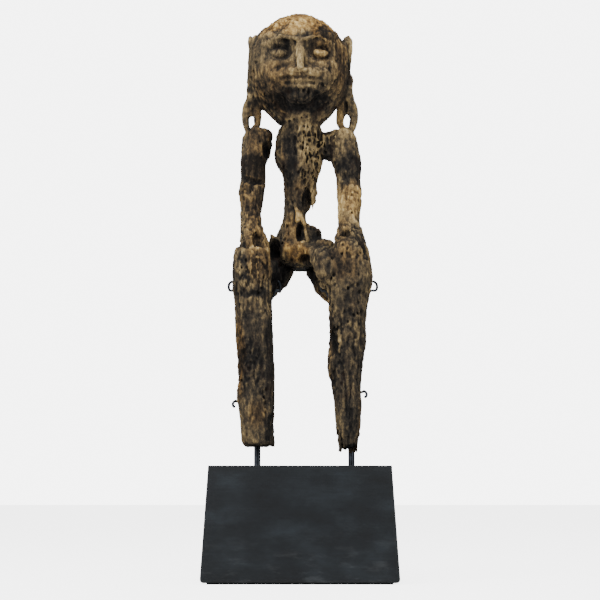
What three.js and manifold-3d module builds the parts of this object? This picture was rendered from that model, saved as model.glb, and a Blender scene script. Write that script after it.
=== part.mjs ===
// A weathered carved ancestor figure, seated with its hands on its knees, on a display stand.
// The figure is one piece of hardwood. Its thighs rest in two wire cradles on steel rods that
// rise behind the shins from a black wooden block, and a wire hook on each rod steadies the shin.
// Millimetres, +Z up. The figure looks along -Y, and left and right are the viewer's.
import * as THREE from "three";
import { mergeVertices } from "three/addons/utils/BufferGeometryUtils.js";
import Module from "manifold-3d";

const wasm = await Module();
wasm.setup();

// Figure. Its height is the leg, the body and the head one above the other.
const LEG_LENGTH = 275;
const BODY_LENGTH = 255;
const HEAD_HEIGHT = 180;
const HEAD_HALF_WIDTH = 81;
const HEAD_HALF_DEPTH = 62;
const CHEST_HALF_WIDTH = 41;
const KNEE_SPREAD = 79;
const THIGH_HALF_HEIGHT = 45;
const KNEE_BEND_HEIGHT = 11;
const LOBE_HOLE_WIDTH = 11;
const LOBE_HALF_HEIGHT = 29;
const SHOULDER_CRACK = 3;

// Stand.
const BASE_WIDTH = 300;
const BASE_DEPTH = 190;
const BASE_HEIGHT = 175;
const BASE_SIDE_INSET = 11;
const BASE_FRONT_INSET = 9;
const BASE_EDGE_RADIUS = 6;
const FELT_THICKNESS = 2;
const FELT_INSET = 4;
const FOOT_CLEARANCE = 20;
const ROD_DIAMETER = 10;
const ROD_CHAMFER = 1;
const ROD_SEAT_DEPTH = 90;
const ROD_OFFSET = 4;
const SPIGOT_DIAMETER = 8;
const NUT_ACROSS_FLATS = 13;
const NUT_HEIGHT = 6.5;
const WASHER_DIAMETER = 16;
const WASHER_THICKNESS = 1.6;
const COUNTERBORE_DIAMETER = 24;
const COUNTERBORE_DEPTH = 18;
const WIRE_DIAMETER = 4;
const CRADLE_OUTER_BOW = 7;
const CRADLE_INNER_BOW = 4;
const CRADLE_BOW_HEIGHT = 20;
const CRADLE_ARM_RISE = 24;
const HOOK_BOW = 4;
const HOOK_BOW_HEIGHT = 10;
const LEFT_HOOK_HEIGHT = 79;
const RIGHT_HOOK_HEIGHT = 94;

// Fits.
const TOUCH_GAP = 0.3;
const WOOD_CLEARANCE = 1;
const BORE_CLEARANCE = 0.4;

const ROD_RADIUS = ROD_DIAMETER / 2;
const WIRE_RADIUS = WIRE_DIAMETER / 2;
const BASE_BOTTOM = FELT_THICKNESS + TOUCH_GAP;
const BASE_TOP = BASE_BOTTOM + BASE_HEIGHT;
const FIGURE_Z = BASE_TOP + FOOT_CLEARANCE;

// ---- Solids from three.js geometry -------------------------------------------------------

// A closed geometry as a solid that can be joined and cut.
function toSolid(geometry) {
  const bare = new THREE.BufferGeometry();
  bare.setAttribute("position", geometry.getAttribute("position"));
  bare.setIndex(geometry.getIndex());
  const merged = mergeVertices(bare, 1e-4);
  return new wasm.Manifold(
    new wasm.Mesh({
      numProp: 3,
      vertProperties: merged.getAttribute("position").array,
      triVerts: new Uint32Array(merged.getIndex().array),
    }),
  );
}

function toGeometry(solid) {
  const mesh = solid.getMesh();
  const geometry = new THREE.BufferGeometry();
  geometry.setAttribute("position", new THREE.BufferAttribute(mesh.vertProperties, 3));
  geometry.setIndex(new THREE.BufferAttribute(mesh.triVerts, 1));
  geometry.computeVertexNormals();
  return geometry;
}

const join = (solids) => solids.reduce((whole, piece) => whole.add(piece));

function ellipsoid(centre, radii, around = 12) {
  const ball = new THREE.SphereGeometry(1, around, Math.round(around * 0.7));
  return toSolid(ball.rotateX(Math.PI / 2).scale(...radii).translate(...centre));
}

function box(low, high) {
  const size = high.map((value, axis) => value - low[axis]);
  const middle = high.map((value, axis) => (value + low[axis]) / 2);
  return toSolid(new THREE.BoxGeometry(...size).translate(...middle));
}

function cylinder(radius, bottom, top, x, y, sides = 32) {
  const bar = new THREE.CylinderGeometry(radius, radius, top - bottom, sides);
  return toSolid(bar.rotateX(Math.PI / 2).translate(x, y, (top + bottom) / 2));
}

const roundedPower = (value, power) => Math.sign(value) * Math.abs(value) ** power;

// A limb through stations [x, y, z, half width, half thickness]. Its sections stand across Z
// on an upright limb, whose thickness is along Y, and across Y on a level one.
function limb(stations, { level = false, sides = 12, rows = 2, squareness = 2 } = {}) {
  const steps = (stations.length - 1) * rows;
  const middle = new THREE.CatmullRomCurve3(
    stations.map(([x, y, z]) => new THREE.Vector3(x, y, z)), false, "catmullrom", 0.5);
  const halves = new THREE.CatmullRomCurve3(
    stations.map((s) => new THREE.Vector3(s[3], s[4], 0)), false, "catmullrom", 0.5);
  const geometry = new THREE.CylinderGeometry(1, 1, 1, sides, steps);
  const position = geometry.getAttribute("position");
  for (let i = 0; i < position.count; i++) {
    const along = Math.min(1, Math.max(0, 0.5 - position.getY(i)));
    const centre = middle.getPoint(along);
    const half = halves.getPoint(along);
    const wide = roundedPower(position.getX(i), 2 / squareness) * half.x;
    const thick = roundedPower(position.getZ(i), 2 / squareness) * half.y;
    if (level) position.setXYZ(i, centre.x + wide, centre.y, centre.z + thick);
    else position.setXYZ(i, centre.x + wide, centre.y - thick, centre.z);
  }
  return toSolid(geometry);
}

// ---- The carved figure ---------------------------------------------------------------------

const CHIN = LEG_LENGTH + BODY_LENGTH;
const CROWN = CHIN + HEAD_HEIGHT;
const EYE_LINE = CHIN + (HEAD_HEIGHT * 5) / 8;
const NOSE_LINE = CHIN + HEAD_HEIGHT / 2;
const MOUTH_LINE = CHIN + HEAD_HEIGHT / 3;

// Stations whose height is given as a share of the body, from the thighs' axis to the chin.
const onBody = (stations) =>
  stations.map(([x, y, share, w, t]) => [x, y, LEG_LENGTH + share * BODY_LENGTH, w, t]);

// Stations whose height is given as a share of the head, from the chin to the crown.
const onHead = (stations) =>
  stations.map(([x, y, share, w, t]) => [x, y, CHIN + share * HEAD_HEIGHT, w, t]);

function head() {
  const skull = limb(
    onHead([
      [0, -4, 1, 9, 8],
      [-2, -2, 0.967, 29, 26],
      [-2, -4, 0.906, 48, 41],
      [-2, -5, 0.81, HEAD_HALF_WIDTH - 16, HEAD_HALF_DEPTH - 9],
      [-1, -6, 0.69, HEAD_HALF_WIDTH - 4, HEAD_HALF_DEPTH - 3],
      [-2, -6, 0.555, HEAD_HALF_WIDTH, HEAD_HALF_DEPTH],
      [-2, -6, 0.4, HEAD_HALF_WIDTH, HEAD_HALF_DEPTH],
      [-2, -4, 0.278, HEAD_HALF_WIDTH - 5, HEAD_HALF_DEPTH - 6],
      [-3, 0, 0.167, 64, 47],
      [0, 4, 0.083, 50, 38],
      [0, 4, 0, 35, 30],
    ]),
    { sides: 18, squareness: 2.3 },
  );
  const muzzle = ellipsoid([0, 16 - HEAD_HALF_DEPTH, MOUTH_LINE + 2], [58, 34, 22], 20);
  return skull.add(muzzle);
}

// Schematic features on round shares of the head's height: 5/8, 1/2 and 1/3.
function carveFace(solid) {
  const front = -HEAD_HALF_DEPTH;
  let face = solid;
  for (const side of [-1, 1]) {
    face = face.subtract(ellipsoid([side * 37, front - 14, EYE_LINE + 2], [30, 22, 24]));
    face = face.add(ellipsoid([side * 37, front + 9, EYE_LINE], [18, 12, 15]));
  }
  const ridge = limb(
    [
      [0, front + 6, EYE_LINE + 26, 8, 8],
      [0, front + 4, EYE_LINE, 7, 9],
      [0, front, NOSE_LINE + 4, 11, 14],
      [0, front + 4, NOSE_LINE - 4, 9, 9],
    ],
    { sides: 8 },
  );
  const slit = ellipsoid([0, front - 14, MOUTH_LINE - 5], [44, 12, 4], 20);
  return face.add(ridge).subtract(slit);
}

// The long ears, and the stretched lobes that hang as rings to the shoulders. The distances out
// are from the widest part of the head.
const EARS = [
  { side: -1, tipOut: -1, halfWidth: 5, lobeOut: -3, lobeRise: 12, ringHalfWidth: 13, holeHalf: 8 },
  { side: 1, tipOut: -4, halfWidth: 9, lobeOut: -5, lobeRise: 13, ringHalfWidth: 15, holeHalf: 11 },
];

function ear({ side, tipOut, halfWidth, lobeOut, lobeRise, ringHalfWidth, holeHalf }) {
  const at = (out) => side * (HEAD_HALF_WIDTH + out);
  const shell = limb(
    onHead([
      [at(tipOut), 2, 0.817, 2, 3],
      [at(tipOut), 3, 0.767, halfWidth, 8],
      [at(tipOut - 2), 4, 0.678, halfWidth, 12],
      [at(-3), 4, 0.528, 7, 13],
      [at(0), 2, 0.4, 7, 12],
      [at(-3), 0, 0.278, 8, 11],
      [at(-3), -1, 0.189, 9, 9],
    ]),
    { sides: 8 },
  );
  const bevel = 2;
  const outline = new THREE.Shape();
  outline.absellipse(0, 0, ringHalfWidth, LOBE_HALF_HEIGHT, 0, Math.PI * 2);
  const hole = new THREE.Path();
  hole.absellipse(0, -9, LOBE_HOLE_WIDTH / 2, holeHalf, 0, Math.PI * 2);
  outline.holes.push(hole);
  const ring = new THREE.ExtrudeGeometry(outline, {
    depth: 8,
    curveSegments: 10,
    bevelThickness: 3,
    bevelSize: bevel,
    bevelSegments: 2,
  });
  ring.rotateX(Math.PI / 2).translate(at(lobeOut), 4, CHIN + lobeRise);
  return shell.add(toSolid(ring));
}

function trunk() {
  const column = limb(
    onBody([
      [0, 2, 1.055, 30, 28],
      [1, 2, 0.976, 34, 28],
      [1, 3, 0.92, CHEST_HALF_WIDTH - 1, 29],
      [0, 4, 0.835, CHEST_HALF_WIDTH, 32],
      [0, 4, 0.765, CHEST_HALF_WIDTH, 33],
      [2, 4, 0.695, 35, 32],
      [1, 4, 0.63, 29, 29],
      [1, 4, 0.553, 28, 26],
      [0, 5, 0.475, 26, 25],
      [-3, 6, 0.396, 25, 25],
      [-2, 7, 0.337, 30, 27],
      [-1, 8, 0.282, 37, 30],
      [0, 8, 0.22, 46, 33],
      [0, 9, 0.141, 48, 36],
      [0, 10, 0.098, 36, 33],
      [0, 11, 0.071, 18, 22],
    ]),
    { sides: 16 },
  );
  const [[, , wasteMiddle], [, , hollowMiddle], [, , ledgeMiddle]] = onBody([
    [0, 0, 0.412, 0, 0],
    [0, 0, 0.482, 0, 0],
    [0, 0, 0.302, 0, 0],
  ]);
  const brokenSide = ellipsoid([28, -4, wasteMiddle], [19, 46, 20]);
  const hollow = ellipsoid([13, -22, hollowMiddle], [9, 18, 26]);
  const hipLedge = ellipsoid([22, 4, ledgeMiddle], [13, 18, 8]);
  return column.subtract(brokenSide).subtract(hollow).add(hipLedge);
}

// The left arm stands free of the chest by a crack and hangs from the ear's lobe.
function leftArm() {
  const inner = -CHEST_HALF_WIDTH - SHOULDER_CRACK;
  return limb(
    onBody([
      [inner - 22, 2, 0.965, 17, 16],
      [inner - 23, 2, 0.93, 23, 21],
      [inner - 26, 2, 0.867, 25, 24],
      [inner - 28, 0, 0.788, 24, 24],
      [3 - KNEE_SPREAD, -2, 0.722, 21, 22],
      [3 - KNEE_SPREAD, -5, 0.63, 21.5, 21],
      [1 - KNEE_SPREAD, -9, 0.533, 21, 21],
      [1 - KNEE_SPREAD, -16, 0.435, 18.5, 20],
      [2 - KNEE_SPREAD, -25, 0.357, 19, 20],
      [3 - KNEE_SPREAD, -36, 0.278, 21, 21],
      [6 - KNEE_SPREAD, -46, 0.2, 25, 24],
    ]),
  );
}

// The right arm is still joined to the chest at the shoulder.
function rightArm() {
  const arm = limb(
    onBody([
      [KNEE_SPREAD - 13, 2, 0.96, 17, 16],
      [KNEE_SPREAD - 13, 2, 0.914, 24, 21],
      [KNEE_SPREAD - 10, 1, 0.847, 26, 24],
      [KNEE_SPREAD - 7, 0, 0.776, 26, 24],
      [KNEE_SPREAD - 3, -2, 0.702, 23, 23],
      [KNEE_SPREAD - 1, -5, 0.63, 20, 21],
      [KNEE_SPREAD, -9, 0.553, 21, 21],
      [KNEE_SPREAD + 1, -14, 0.475, 20, 21],
      [KNEE_SPREAD - 1, -21, 0.396, 18.5, 20],
      [KNEE_SPREAD - 1, -29, 0.325, 20, 20],
      [KNEE_SPREAD - 1, -38, 0.263, 25, 22],
      [KNEE_SPREAD - 1, -48, 0.192, 27, 25],
    ]),
  );
  const [[x, y, z]] = onBody([[(CHEST_HALF_WIDTH + KNEE_SPREAD) * 0.4, 2, 0.855, 0, 0]]);
  return arm.add(ellipsoid([x, y, z], [KNEE_SPREAD * 0.3, 22, 26]));
}

// The shins, down from the knees. They taper, and the right one ends lower.
const LEFT_SHIN = [
  [7 - KNEE_SPREAD, -50, LEG_LENGTH + 53, 20, 18],
  [5 - KNEE_SPREAD, -54, LEG_LENGTH + 43, 27, 26],
  [3 - KNEE_SPREAD, -55, LEG_LENGTH + 26, 30, 29],
  [3 - KNEE_SPREAD, -56, LEG_LENGTH + 6, 32, 30],
  [4 - KNEE_SPREAD, -56, LEG_LENGTH * 0.93, 31.5, 29],
  [6 - KNEE_SPREAD, -56, LEG_LENGTH * 0.84, 30.5, 28],
  [7 - KNEE_SPREAD, -56, LEG_LENGTH * 0.695, 29.5, 27],
  [9 - KNEE_SPREAD, -56, LEG_LENGTH * 0.55, 30, 27],
  [12 - KNEE_SPREAD, -56, LEG_LENGTH * 0.404, 30, 26],
  [12 - KNEE_SPREAD, -56, LEG_LENGTH * 0.295, 30, 26],
  [14 - KNEE_SPREAD, -56, LEG_LENGTH * 0.193, 27, 25],
  [15 - KNEE_SPREAD, -56, LEG_LENGTH * 0.033, 26, 24],
];
const RIGHT_SHIN = [
  [KNEE_SPREAD - 1, -50, LEG_LENGTH + 56, 22, 18],
  [KNEE_SPREAD, -54, LEG_LENGTH + 43, 28, 26],
  [KNEE_SPREAD, -55, LEG_LENGTH + 24, 31, 29],
  [KNEE_SPREAD + 1, -56, LEG_LENGTH + 2, 33, 30],
  [KNEE_SPREAD - 1, -56, LEG_LENGTH * 0.935, 34, 30],
  [KNEE_SPREAD - 5, -56, LEG_LENGTH * 0.858, 32.5, 28.5],
  [KNEE_SPREAD - 6, -56, LEG_LENGTH * 0.731, 30, 27],
  [KNEE_SPREAD - 6, -56, LEG_LENGTH * 0.593, 30.5, 27],
  [KNEE_SPREAD - 9, -56, LEG_LENGTH * 0.476, 28.5, 25],
  [KNEE_SPREAD - 7, -56, LEG_LENGTH * 0.375, 24, 24],
  [KNEE_SPREAD - 5, -56, LEG_LENGTH * 0.28, 22, 23],
  [KNEE_SPREAD - 5, -56, LEG_LENGTH * 0.149, 19, 21],
  [KNEE_SPREAD - 5, -56, 0, 16, 19],
];

// A thigh, from the pelvis forward and outward to the knee.
function thigh(side, kneeX, halfWidth) {
  return limb(
    [
      [side * 22, 26, LEG_LENGTH + 44, 20, THIGH_HALF_HEIGHT - 21],
      [side * 34, 11, LEG_LENGTH + 30, 26, THIGH_HALF_HEIGHT - 8],
      [side * 54, -6, LEG_LENGTH + 9, halfWidth - 1, THIGH_HALF_HEIGHT - 4],
      [side * (kneeX - 5), -22, LEG_LENGTH, halfWidth, THIGH_HALF_HEIGHT],
      [side * kneeX, -40, LEG_LENGTH - 2, halfWidth - 1, THIGH_HALF_HEIGHT - 2],
      [side * kneeX, -55, LEG_LENGTH - 2, halfWidth - 7, THIGH_HALF_HEIGHT - 8],
    ],
    { level: true, sides: 14 },
  );
}

const figure = join([
  carveFace(head()),
  ...EARS.map(ear),
  trunk(),
  leftArm(),
  rightArm(),
  limb(LEFT_SHIN, { sides: 14, squareness: 2.4 }),
  limb(RIGHT_SHIN, { sides: 14, squareness: 2.4 }),
  thigh(-1, KNEE_SPREAD - 3, 31),
  thigh(1, KNEE_SPREAD + 3, 34),
]).translate([0, 0, FIGURE_Z]);

// The box around what the figure holds between two corners.
function woodWithin(low, high) {
  const slice = toGeometry(figure.intersect(box(low, high)));
  slice.computeBoundingBox();
  return slice.boundingBox;
}

// ---- The stand -------------------------------------------------------------------------------

const FAR = 1000;
const SPLIT = 5;
const THIGH_AXIS_Z = FIGURE_Z + LEG_LENGTH;
const UNDER_THIGH = THIGH_AXIS_Z - THIGH_HALF_HEIGHT - KNEE_BEND_HEIGHT;

// What the stand needs to know about one leg. Side is -1 on the left and 1 on the right.
function legPlace(side, hookHeight) {
  const [near, far] = side < 0 ? [-FAR, -SPLIT] : [SPLIT, FAR];
  const shin = woodWithin([near, -FAR, FIGURE_Z - 5], [far, FAR, UNDER_THIGH]);
  const rodY = shin.max.y + WOOD_CLEARANCE + ROD_RADIUS;
  const reach = WIRE_RADIUS + WOOD_CLEARANCE;
  const thighHere = woodWithin([near, rodY - reach, 0], [far, rodY + reach, THIGH_AXIS_Z]);
  const hookZ = FIGURE_Z + hookHeight;
  const low = [near, -FAR, hookZ - HOOK_BOW_HEIGHT - 3 * WIRE_RADIUS];
  const ankle = woodWithin(low, [far, FAR, hookZ + WIRE_RADIUS]);
  const half = (thighHere.max.x - thighHere.min.x) / 2;
  const thighX = thighHere.min.x + half;
  return { side, rodY, thighHere, half, hookZ, ankle, thighX, x: thighX + ROD_OFFSET };
}

const legs = [
  { name: "left", ...legPlace(-1, LEFT_HOOK_HEIGHT) },
  { name: "right", ...legPlace(1, RIGHT_HOOK_HEIGHT) },
];

const wireSection = new THREE.Shape().absarc(0, 0, WIRE_RADIUS, 0, Math.PI * 2);

// A bent wire through points, as one closed sweep.
function wire(points, steps) {
  const path = new THREE.CatmullRomCurve3(points.map((p) => new THREE.Vector3(...p)));
  return new THREE.ExtrudeGeometry(wireSection, {
    extrudePath: path,
    steps,
    curveSegments: 4,
  });
}

// A U under the thigh that follows it with the wood's clearance. Each end bows away from the
// wood and its tip comes back to it.
const CRADLE_OFFSET = WOOD_CLEARANCE + WIRE_RADIUS;

function cradleBottom(leg) {
  return leg.thighHere.min.z - CRADLE_OFFSET;
}

function cradle(leg) {
  const wide = leg.half + CRADLE_OFFSET;
  const deep = THIGH_AXIS_Z - cradleBottom(leg);
  const bowStart = cradleBottom(leg) + CRADLE_ARM_RISE;
  const side = (sign) => {
    const bow = sign === leg.side ? CRADLE_OUTER_BOW : CRADLE_INNER_BOW;
    return [
      [0, 1],
      [0.75, 0.82],
      [1, 0.55],
      [0.7, 0.25],
    ].map(([out, up]) => [
      leg.thighX + sign * (wide + out * bow),
      leg.rodY,
      bowStart + up * CRADLE_BOW_HEIGHT,
    ]);
  };
  const under = [];
  for (let angle = 205; angle <= 335; angle += 10) {
    const turn = (angle * Math.PI) / 180;
    under.push([leg.thighX + wide * Math.cos(turn), leg.rodY, THIGH_AXIS_Z + deep * Math.sin(turn)]);
  }
  return wire([...side(-1), ...under, ...side(1).reverse()], 56);
}

// A finger from the rod round the back of the shin to its outer side, with the same bowed tip.
function hook(leg) {
  const startX = leg.x + leg.side * (ROD_RADIUS + 2 * TOUCH_GAP);
  const edge = leg.side < 0 ? leg.ankle.min.x : leg.ankle.max.x;
  const outX = edge + leg.side * CRADLE_OFFSET;
  const middleY = (leg.ankle.min.y + leg.ankle.max.y) / 2;
  const points = [];
  for (let angle = 90; angle >= 0; angle -= 15) {
    const turn = (angle * Math.PI) / 180;
    points.push([
      startX + (outX - startX) * Math.cos(turn),
      middleY + (leg.rodY - middleY) * Math.sin(turn),
      leg.hookZ,
    ]);
  }
  const bow = [
    [0.7, 3, 0.2],
    [1, 5, 0.55],
    [0.7, 6, 0.85],
    [0, 6, 1],
  ].map(([out, forward, down]) => [
    outX + leg.side * out * HOOK_BOW,
    middleY - forward,
    leg.hookZ - down * HOOK_BOW_HEIGHT,
  ]);
  return wire([...points, ...bow], 32);
}

// ---- Rods and their fixings in the block ----

const SHOULDER_Z = BASE_TOP - ROD_SEAT_DEPTH;
const CEILING_Z = BASE_BOTTOM + COUNTERBORE_DEPTH;
const WASHER_TOP = CEILING_Z - TOUCH_GAP;
const NUT_TOP = WASHER_TOP - WASHER_THICKNESS - TOUCH_GAP;
const SPIGOT_END = NUT_TOP - NUT_HEIGHT - 3;
const SPIGOT_RADIUS = SPIGOT_DIAMETER / 2;

function rod(leg) {
  const top = cradleBottom(leg) - WIRE_RADIUS - TOUCH_GAP;
  const profile = [
    [0, SPIGOT_END],
    [SPIGOT_RADIUS - ROD_CHAMFER, SPIGOT_END],
    [SPIGOT_RADIUS, SPIGOT_END + ROD_CHAMFER],
    [SPIGOT_RADIUS, SHOULDER_Z],
    [ROD_RADIUS, SHOULDER_Z],
    [ROD_RADIUS, top - ROD_CHAMFER],
    [ROD_RADIUS - ROD_CHAMFER, top],
    [0, top],
  ].map(([radius, height]) => new THREE.Vector2(radius, height));
  const bar = new THREE.LatheGeometry(profile, 24);
  return bar.rotateX(Math.PI / 2).translate(leg.x, leg.rodY, 0);
}

function washer(leg) {
  const bottom = WASHER_TOP - WASHER_THICKNESS;
  const disc = cylinder(WASHER_DIAMETER / 2, bottom, WASHER_TOP, leg.x, leg.rodY);
  const hole = SPIGOT_RADIUS + BORE_CLEARANCE;
  return toGeometry(disc.subtract(cylinder(hole, bottom - 1, WASHER_TOP + 1, leg.x, leg.rodY)));
}

function nut(leg) {
  const bottom = NUT_TOP - NUT_HEIGHT;
  const corner = NUT_ACROSS_FLATS / Math.sqrt(3);
  const block = cylinder(corner, bottom, NUT_TOP, leg.x, leg.rodY, 6);
  const hole = SPIGOT_RADIUS + TOUCH_GAP;
  return toGeometry(block.subtract(cylinder(hole, bottom - 1, NUT_TOP + 1, leg.x, leg.rodY)));
}

// The block leans in towards its top, and its bottom edge is rounded over.
function baseBlock() {
  const roundSteps = 4;
  const geometry = new THREE.BoxGeometry(1, 1, 1, 1, 1, roundSteps + 1);
  const position = geometry.getAttribute("position");
  for (let i = 0; i < position.count; i++) {
    const row = Math.round((position.getZ(i) + 0.5) * (roundSteps + 1));
    const turn = (Math.min(row, roundSteps) / roundSteps) * (Math.PI / 2);
    const rolled = BASE_EDGE_RADIUS * (1 - Math.sin(turn));
    const height = row > roundSteps ? BASE_HEIGHT : BASE_EDGE_RADIUS * (1 - Math.cos(turn));
    const lean = height / BASE_HEIGHT;
    position.setXYZ(
      i,
      2 * position.getX(i) * (BASE_WIDTH / 2 - rolled - lean * BASE_SIDE_INSET),
      2 * position.getY(i) * (BASE_DEPTH / 2 - rolled - lean * BASE_FRONT_INSET),
      BASE_BOTTOM + height,
    );
  }
  let block = toSolid(geometry);
  for (const leg of legs) {
    const bore = ROD_RADIUS + BORE_CLEARANCE;
    const through = SPIGOT_RADIUS + BORE_CLEARANCE;
    const recess = COUNTERBORE_DIAMETER / 2;
    block = block
      .subtract(cylinder(bore, SHOULDER_Z - TOUCH_GAP, BASE_TOP + 1, leg.x, leg.rodY))
      .subtract(cylinder(through, BASE_BOTTOM, BASE_TOP, leg.x, leg.rodY))
      .subtract(cylinder(recess, BASE_BOTTOM - 1, CEILING_Z, leg.x, leg.rodY));
  }
  return toGeometry(block);
}

function baseFelt() {
  const inset = BASE_EDGE_RADIUS + FELT_INSET;
  const wide = BASE_WIDTH - 2 * inset;
  const deep = BASE_DEPTH - 2 * inset;
  const sheet = new THREE.BoxGeometry(wide, deep, FELT_THICKNESS);
  return sheet.translate(0, 0, FELT_THICKNESS / 2);
}

// ---- Materials and the assembly ----------------------------------------------------------------

const weatheredWood = () =>
  new THREE.MeshStandardMaterial({ color: 0x5e4a33, roughness: 0.95, metalness: 0 });
const blackStain = () =>
  new THREE.MeshStandardMaterial({ color: 0x1c2023, roughness: 0.6, metalness: 0 });
const blackSteel = () =>
  new THREE.MeshStandardMaterial({ color: 0x23272b, roughness: 0.45, metalness: 0.6 });
const zincSteel = () =>
  new THREE.MeshStandardMaterial({ color: 0x9a9c9e, roughness: 0.35, metalness: 1 });
const blackFelt = () =>
  new THREE.MeshStandardMaterial({ color: 0x17181a, roughness: 1, metalness: 0 });

const assembly = new THREE.Group();

function place(name, geometry, material) {
  const mesh = new THREE.Mesh(geometry, material);
  mesh.name = name;
  assembly.add(mesh);
}

place("carved_figure", toGeometry(figure), weatheredWood());
place("base_block", baseBlock(), blackStain());
place("base_felt", baseFelt(), blackFelt());
for (const leg of legs) {
  place(`rod_${leg.name}`, rod(leg), blackSteel());
  place(`cradle_${leg.name}`, cradle(leg), blackSteel());
  place(`hook_${leg.name}`, hook(leg), blackSteel());
  place(`washer_${leg.name}`, washer(leg), zincSteel());
  place(`nut_${leg.name}`, nut(leg), zincSteel());
}

export default assembly;
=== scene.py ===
"""A weathered ancestor figure on its display stand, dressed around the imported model.

Lengths are metres and +Z is up, except inside the carving's block, which is worked in
millimetres. The figure looks along -Y, and left and right are the viewer's.
"""
import logging
import math
from dataclasses import dataclass, field, replace
from enum import Enum
from itertools import product
from typing import Any, Callable, Iterator, Sequence

import bmesh
import bpy
import numpy as np
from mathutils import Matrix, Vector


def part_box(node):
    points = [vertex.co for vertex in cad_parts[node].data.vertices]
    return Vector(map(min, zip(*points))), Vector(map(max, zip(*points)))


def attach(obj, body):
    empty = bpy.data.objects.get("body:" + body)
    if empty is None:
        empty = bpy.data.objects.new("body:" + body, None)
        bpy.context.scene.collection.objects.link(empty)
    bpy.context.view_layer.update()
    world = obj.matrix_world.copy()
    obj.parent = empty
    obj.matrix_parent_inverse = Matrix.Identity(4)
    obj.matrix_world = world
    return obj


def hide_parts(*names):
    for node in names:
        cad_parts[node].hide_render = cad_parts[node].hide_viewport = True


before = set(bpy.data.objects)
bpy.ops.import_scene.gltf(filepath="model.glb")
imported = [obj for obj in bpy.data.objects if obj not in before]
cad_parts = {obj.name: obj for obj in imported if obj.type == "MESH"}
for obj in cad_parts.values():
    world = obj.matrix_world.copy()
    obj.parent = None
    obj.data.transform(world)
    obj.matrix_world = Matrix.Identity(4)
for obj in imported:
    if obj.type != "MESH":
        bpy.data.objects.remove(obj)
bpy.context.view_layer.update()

import openvdb as vdb
from mathutils import Vector

MM = 0.001
LOG = logging.getLogger("ancestor_figure")

Array = np.ndarray
Tree = bpy.types.NodeTree
Layers = dict[str, bpy.types.NodeSocket]
Place = tuple[float, float, float]


class Body(Enum):
    """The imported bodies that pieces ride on."""

    STAND = "stand"
    FIGURE = "figure"


class Slot(Enum):
    """The record's material slots."""

    WOOD = "weathered_wood"
    BLOCK = "black_stained_wood"
    FELT = "black_felt"
    STEEL = "black_steel"
    ZINC = "zinc_steel"


class Tool(Enum):
    """What a carver's mark does to the wood."""

    SWELL = "swell"
    GOUGE = "gouge"


# ---------------------------------------------------------------------------------------
# Nodes and colours
# ---------------------------------------------------------------------------------------


def linear(hex_colour: str) -> tuple[float, float, float, float]:
    """Turns an sRGB hex colour into linear red, green, blue and alpha.

    Args:
        hex_colour: Six hex digits after a hash sign.

    Returns:
        The linear colour, with an alpha of 1.
    """
    channels = [int(hex_colour[i : i + 2], 16) / 255 for i in (1, 3, 5)]
    curve = [c / 12.92 if c <= 0.04045 else ((c + 0.055) / 1.055) ** 2.4 for c in channels]
    return (*curve, 1.0)


def add_node(
    tree: Tree,
    kind: str,
    settings: dict[str, Any] | None = None,
    inputs: dict[Any, Any] | None = None,
) -> bpy.types.Node:
    """Adds a node, sets it up and links what feeds it.

    Args:
        tree: The tree that gets the node.
        kind: The node's type name.
        settings: Properties of the node by name, or a ramp's stops as places with hex colours.
        inputs: Values or output sockets by input name or number.

    Returns:
        The new node.
    """
    node = tree.nodes.new(kind)
    for name, value in (settings or {}).items():
        if name != "stops":
            setattr(node, name, value)
            continue
        elements = node.color_ramp.elements
        while len(elements) < len(value):
            elements.new(1.0)
        for element, (place, colour) in zip(elements, value):
            element.position = place
            element.color = linear(colour)
    for key, value in (inputs or {}).items():
        if isinstance(value, bpy.types.NodeSocket):
            tree.links.new(value, node.inputs[key])
        else:
            node.inputs[key].default_value = value
    return node


@dataclass(frozen=True)
class Grain:
    """A noise pattern whose grains have a real size along X, Y and Z, in millimetres."""

    size_mm: tuple[float, float, float]
    detail: float = 3.0
    roughness: float = 0.55


@dataclass(frozen=True)
class Finish:
    """What every finish has: a name, the shader's constant values, and its grains by name."""

    name: str
    roughness: float
    metallic: float = 0.0

    GRAINS = {}

    def build(self) -> bpy.types.Material:
        """Makes the material and returns it."""
        material = bpy.data.materials.new(self.name)
        material.use_nodes = True
        tree = material.node_tree
        tree.nodes.clear()
        shader = add_node(
            tree,
            "ShaderNodeBsdfPrincipled",
            inputs={"Roughness": self.roughness, "Metallic": self.metallic},
        )
        add_node(tree, "ShaderNodeOutputMaterial", inputs={"Surface": shader.outputs["BSDF"]})
        place = add_node(tree, "ShaderNodeTexCoord").outputs["Object"]
        layers = {"place": place}
        for name, grain in self.GRAINS.items():
            stretch = tuple(1 / (size * MM) for size in grain.size_mm)
            mapped = add_node(tree, "ShaderNodeMapping", inputs={"Vector": place, "Scale": stretch})
            noise = add_node(
                tree,
                "ShaderNodeTexNoise",
                inputs={
                    "Vector": mapped.outputs["Vector"],
                    "Scale": 1.0,
                    "Detail": grain.detail,
                    "Roughness": grain.roughness,
                },
            )
            layers[name] = noise.outputs["Fac"]
        self.dress(tree, shader, layers)
        return material

    def dress(self, tree: Tree, shader: bpy.types.Node, layers: Layers) -> None:
        """Adds the finish's own pattern. Each finish has its own.

        Args:
            tree: The material's tree.
            shader: The surface shader.
            layers: The grains' values by name, and the place in metres.
        """
        raise NotImplementedError


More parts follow.
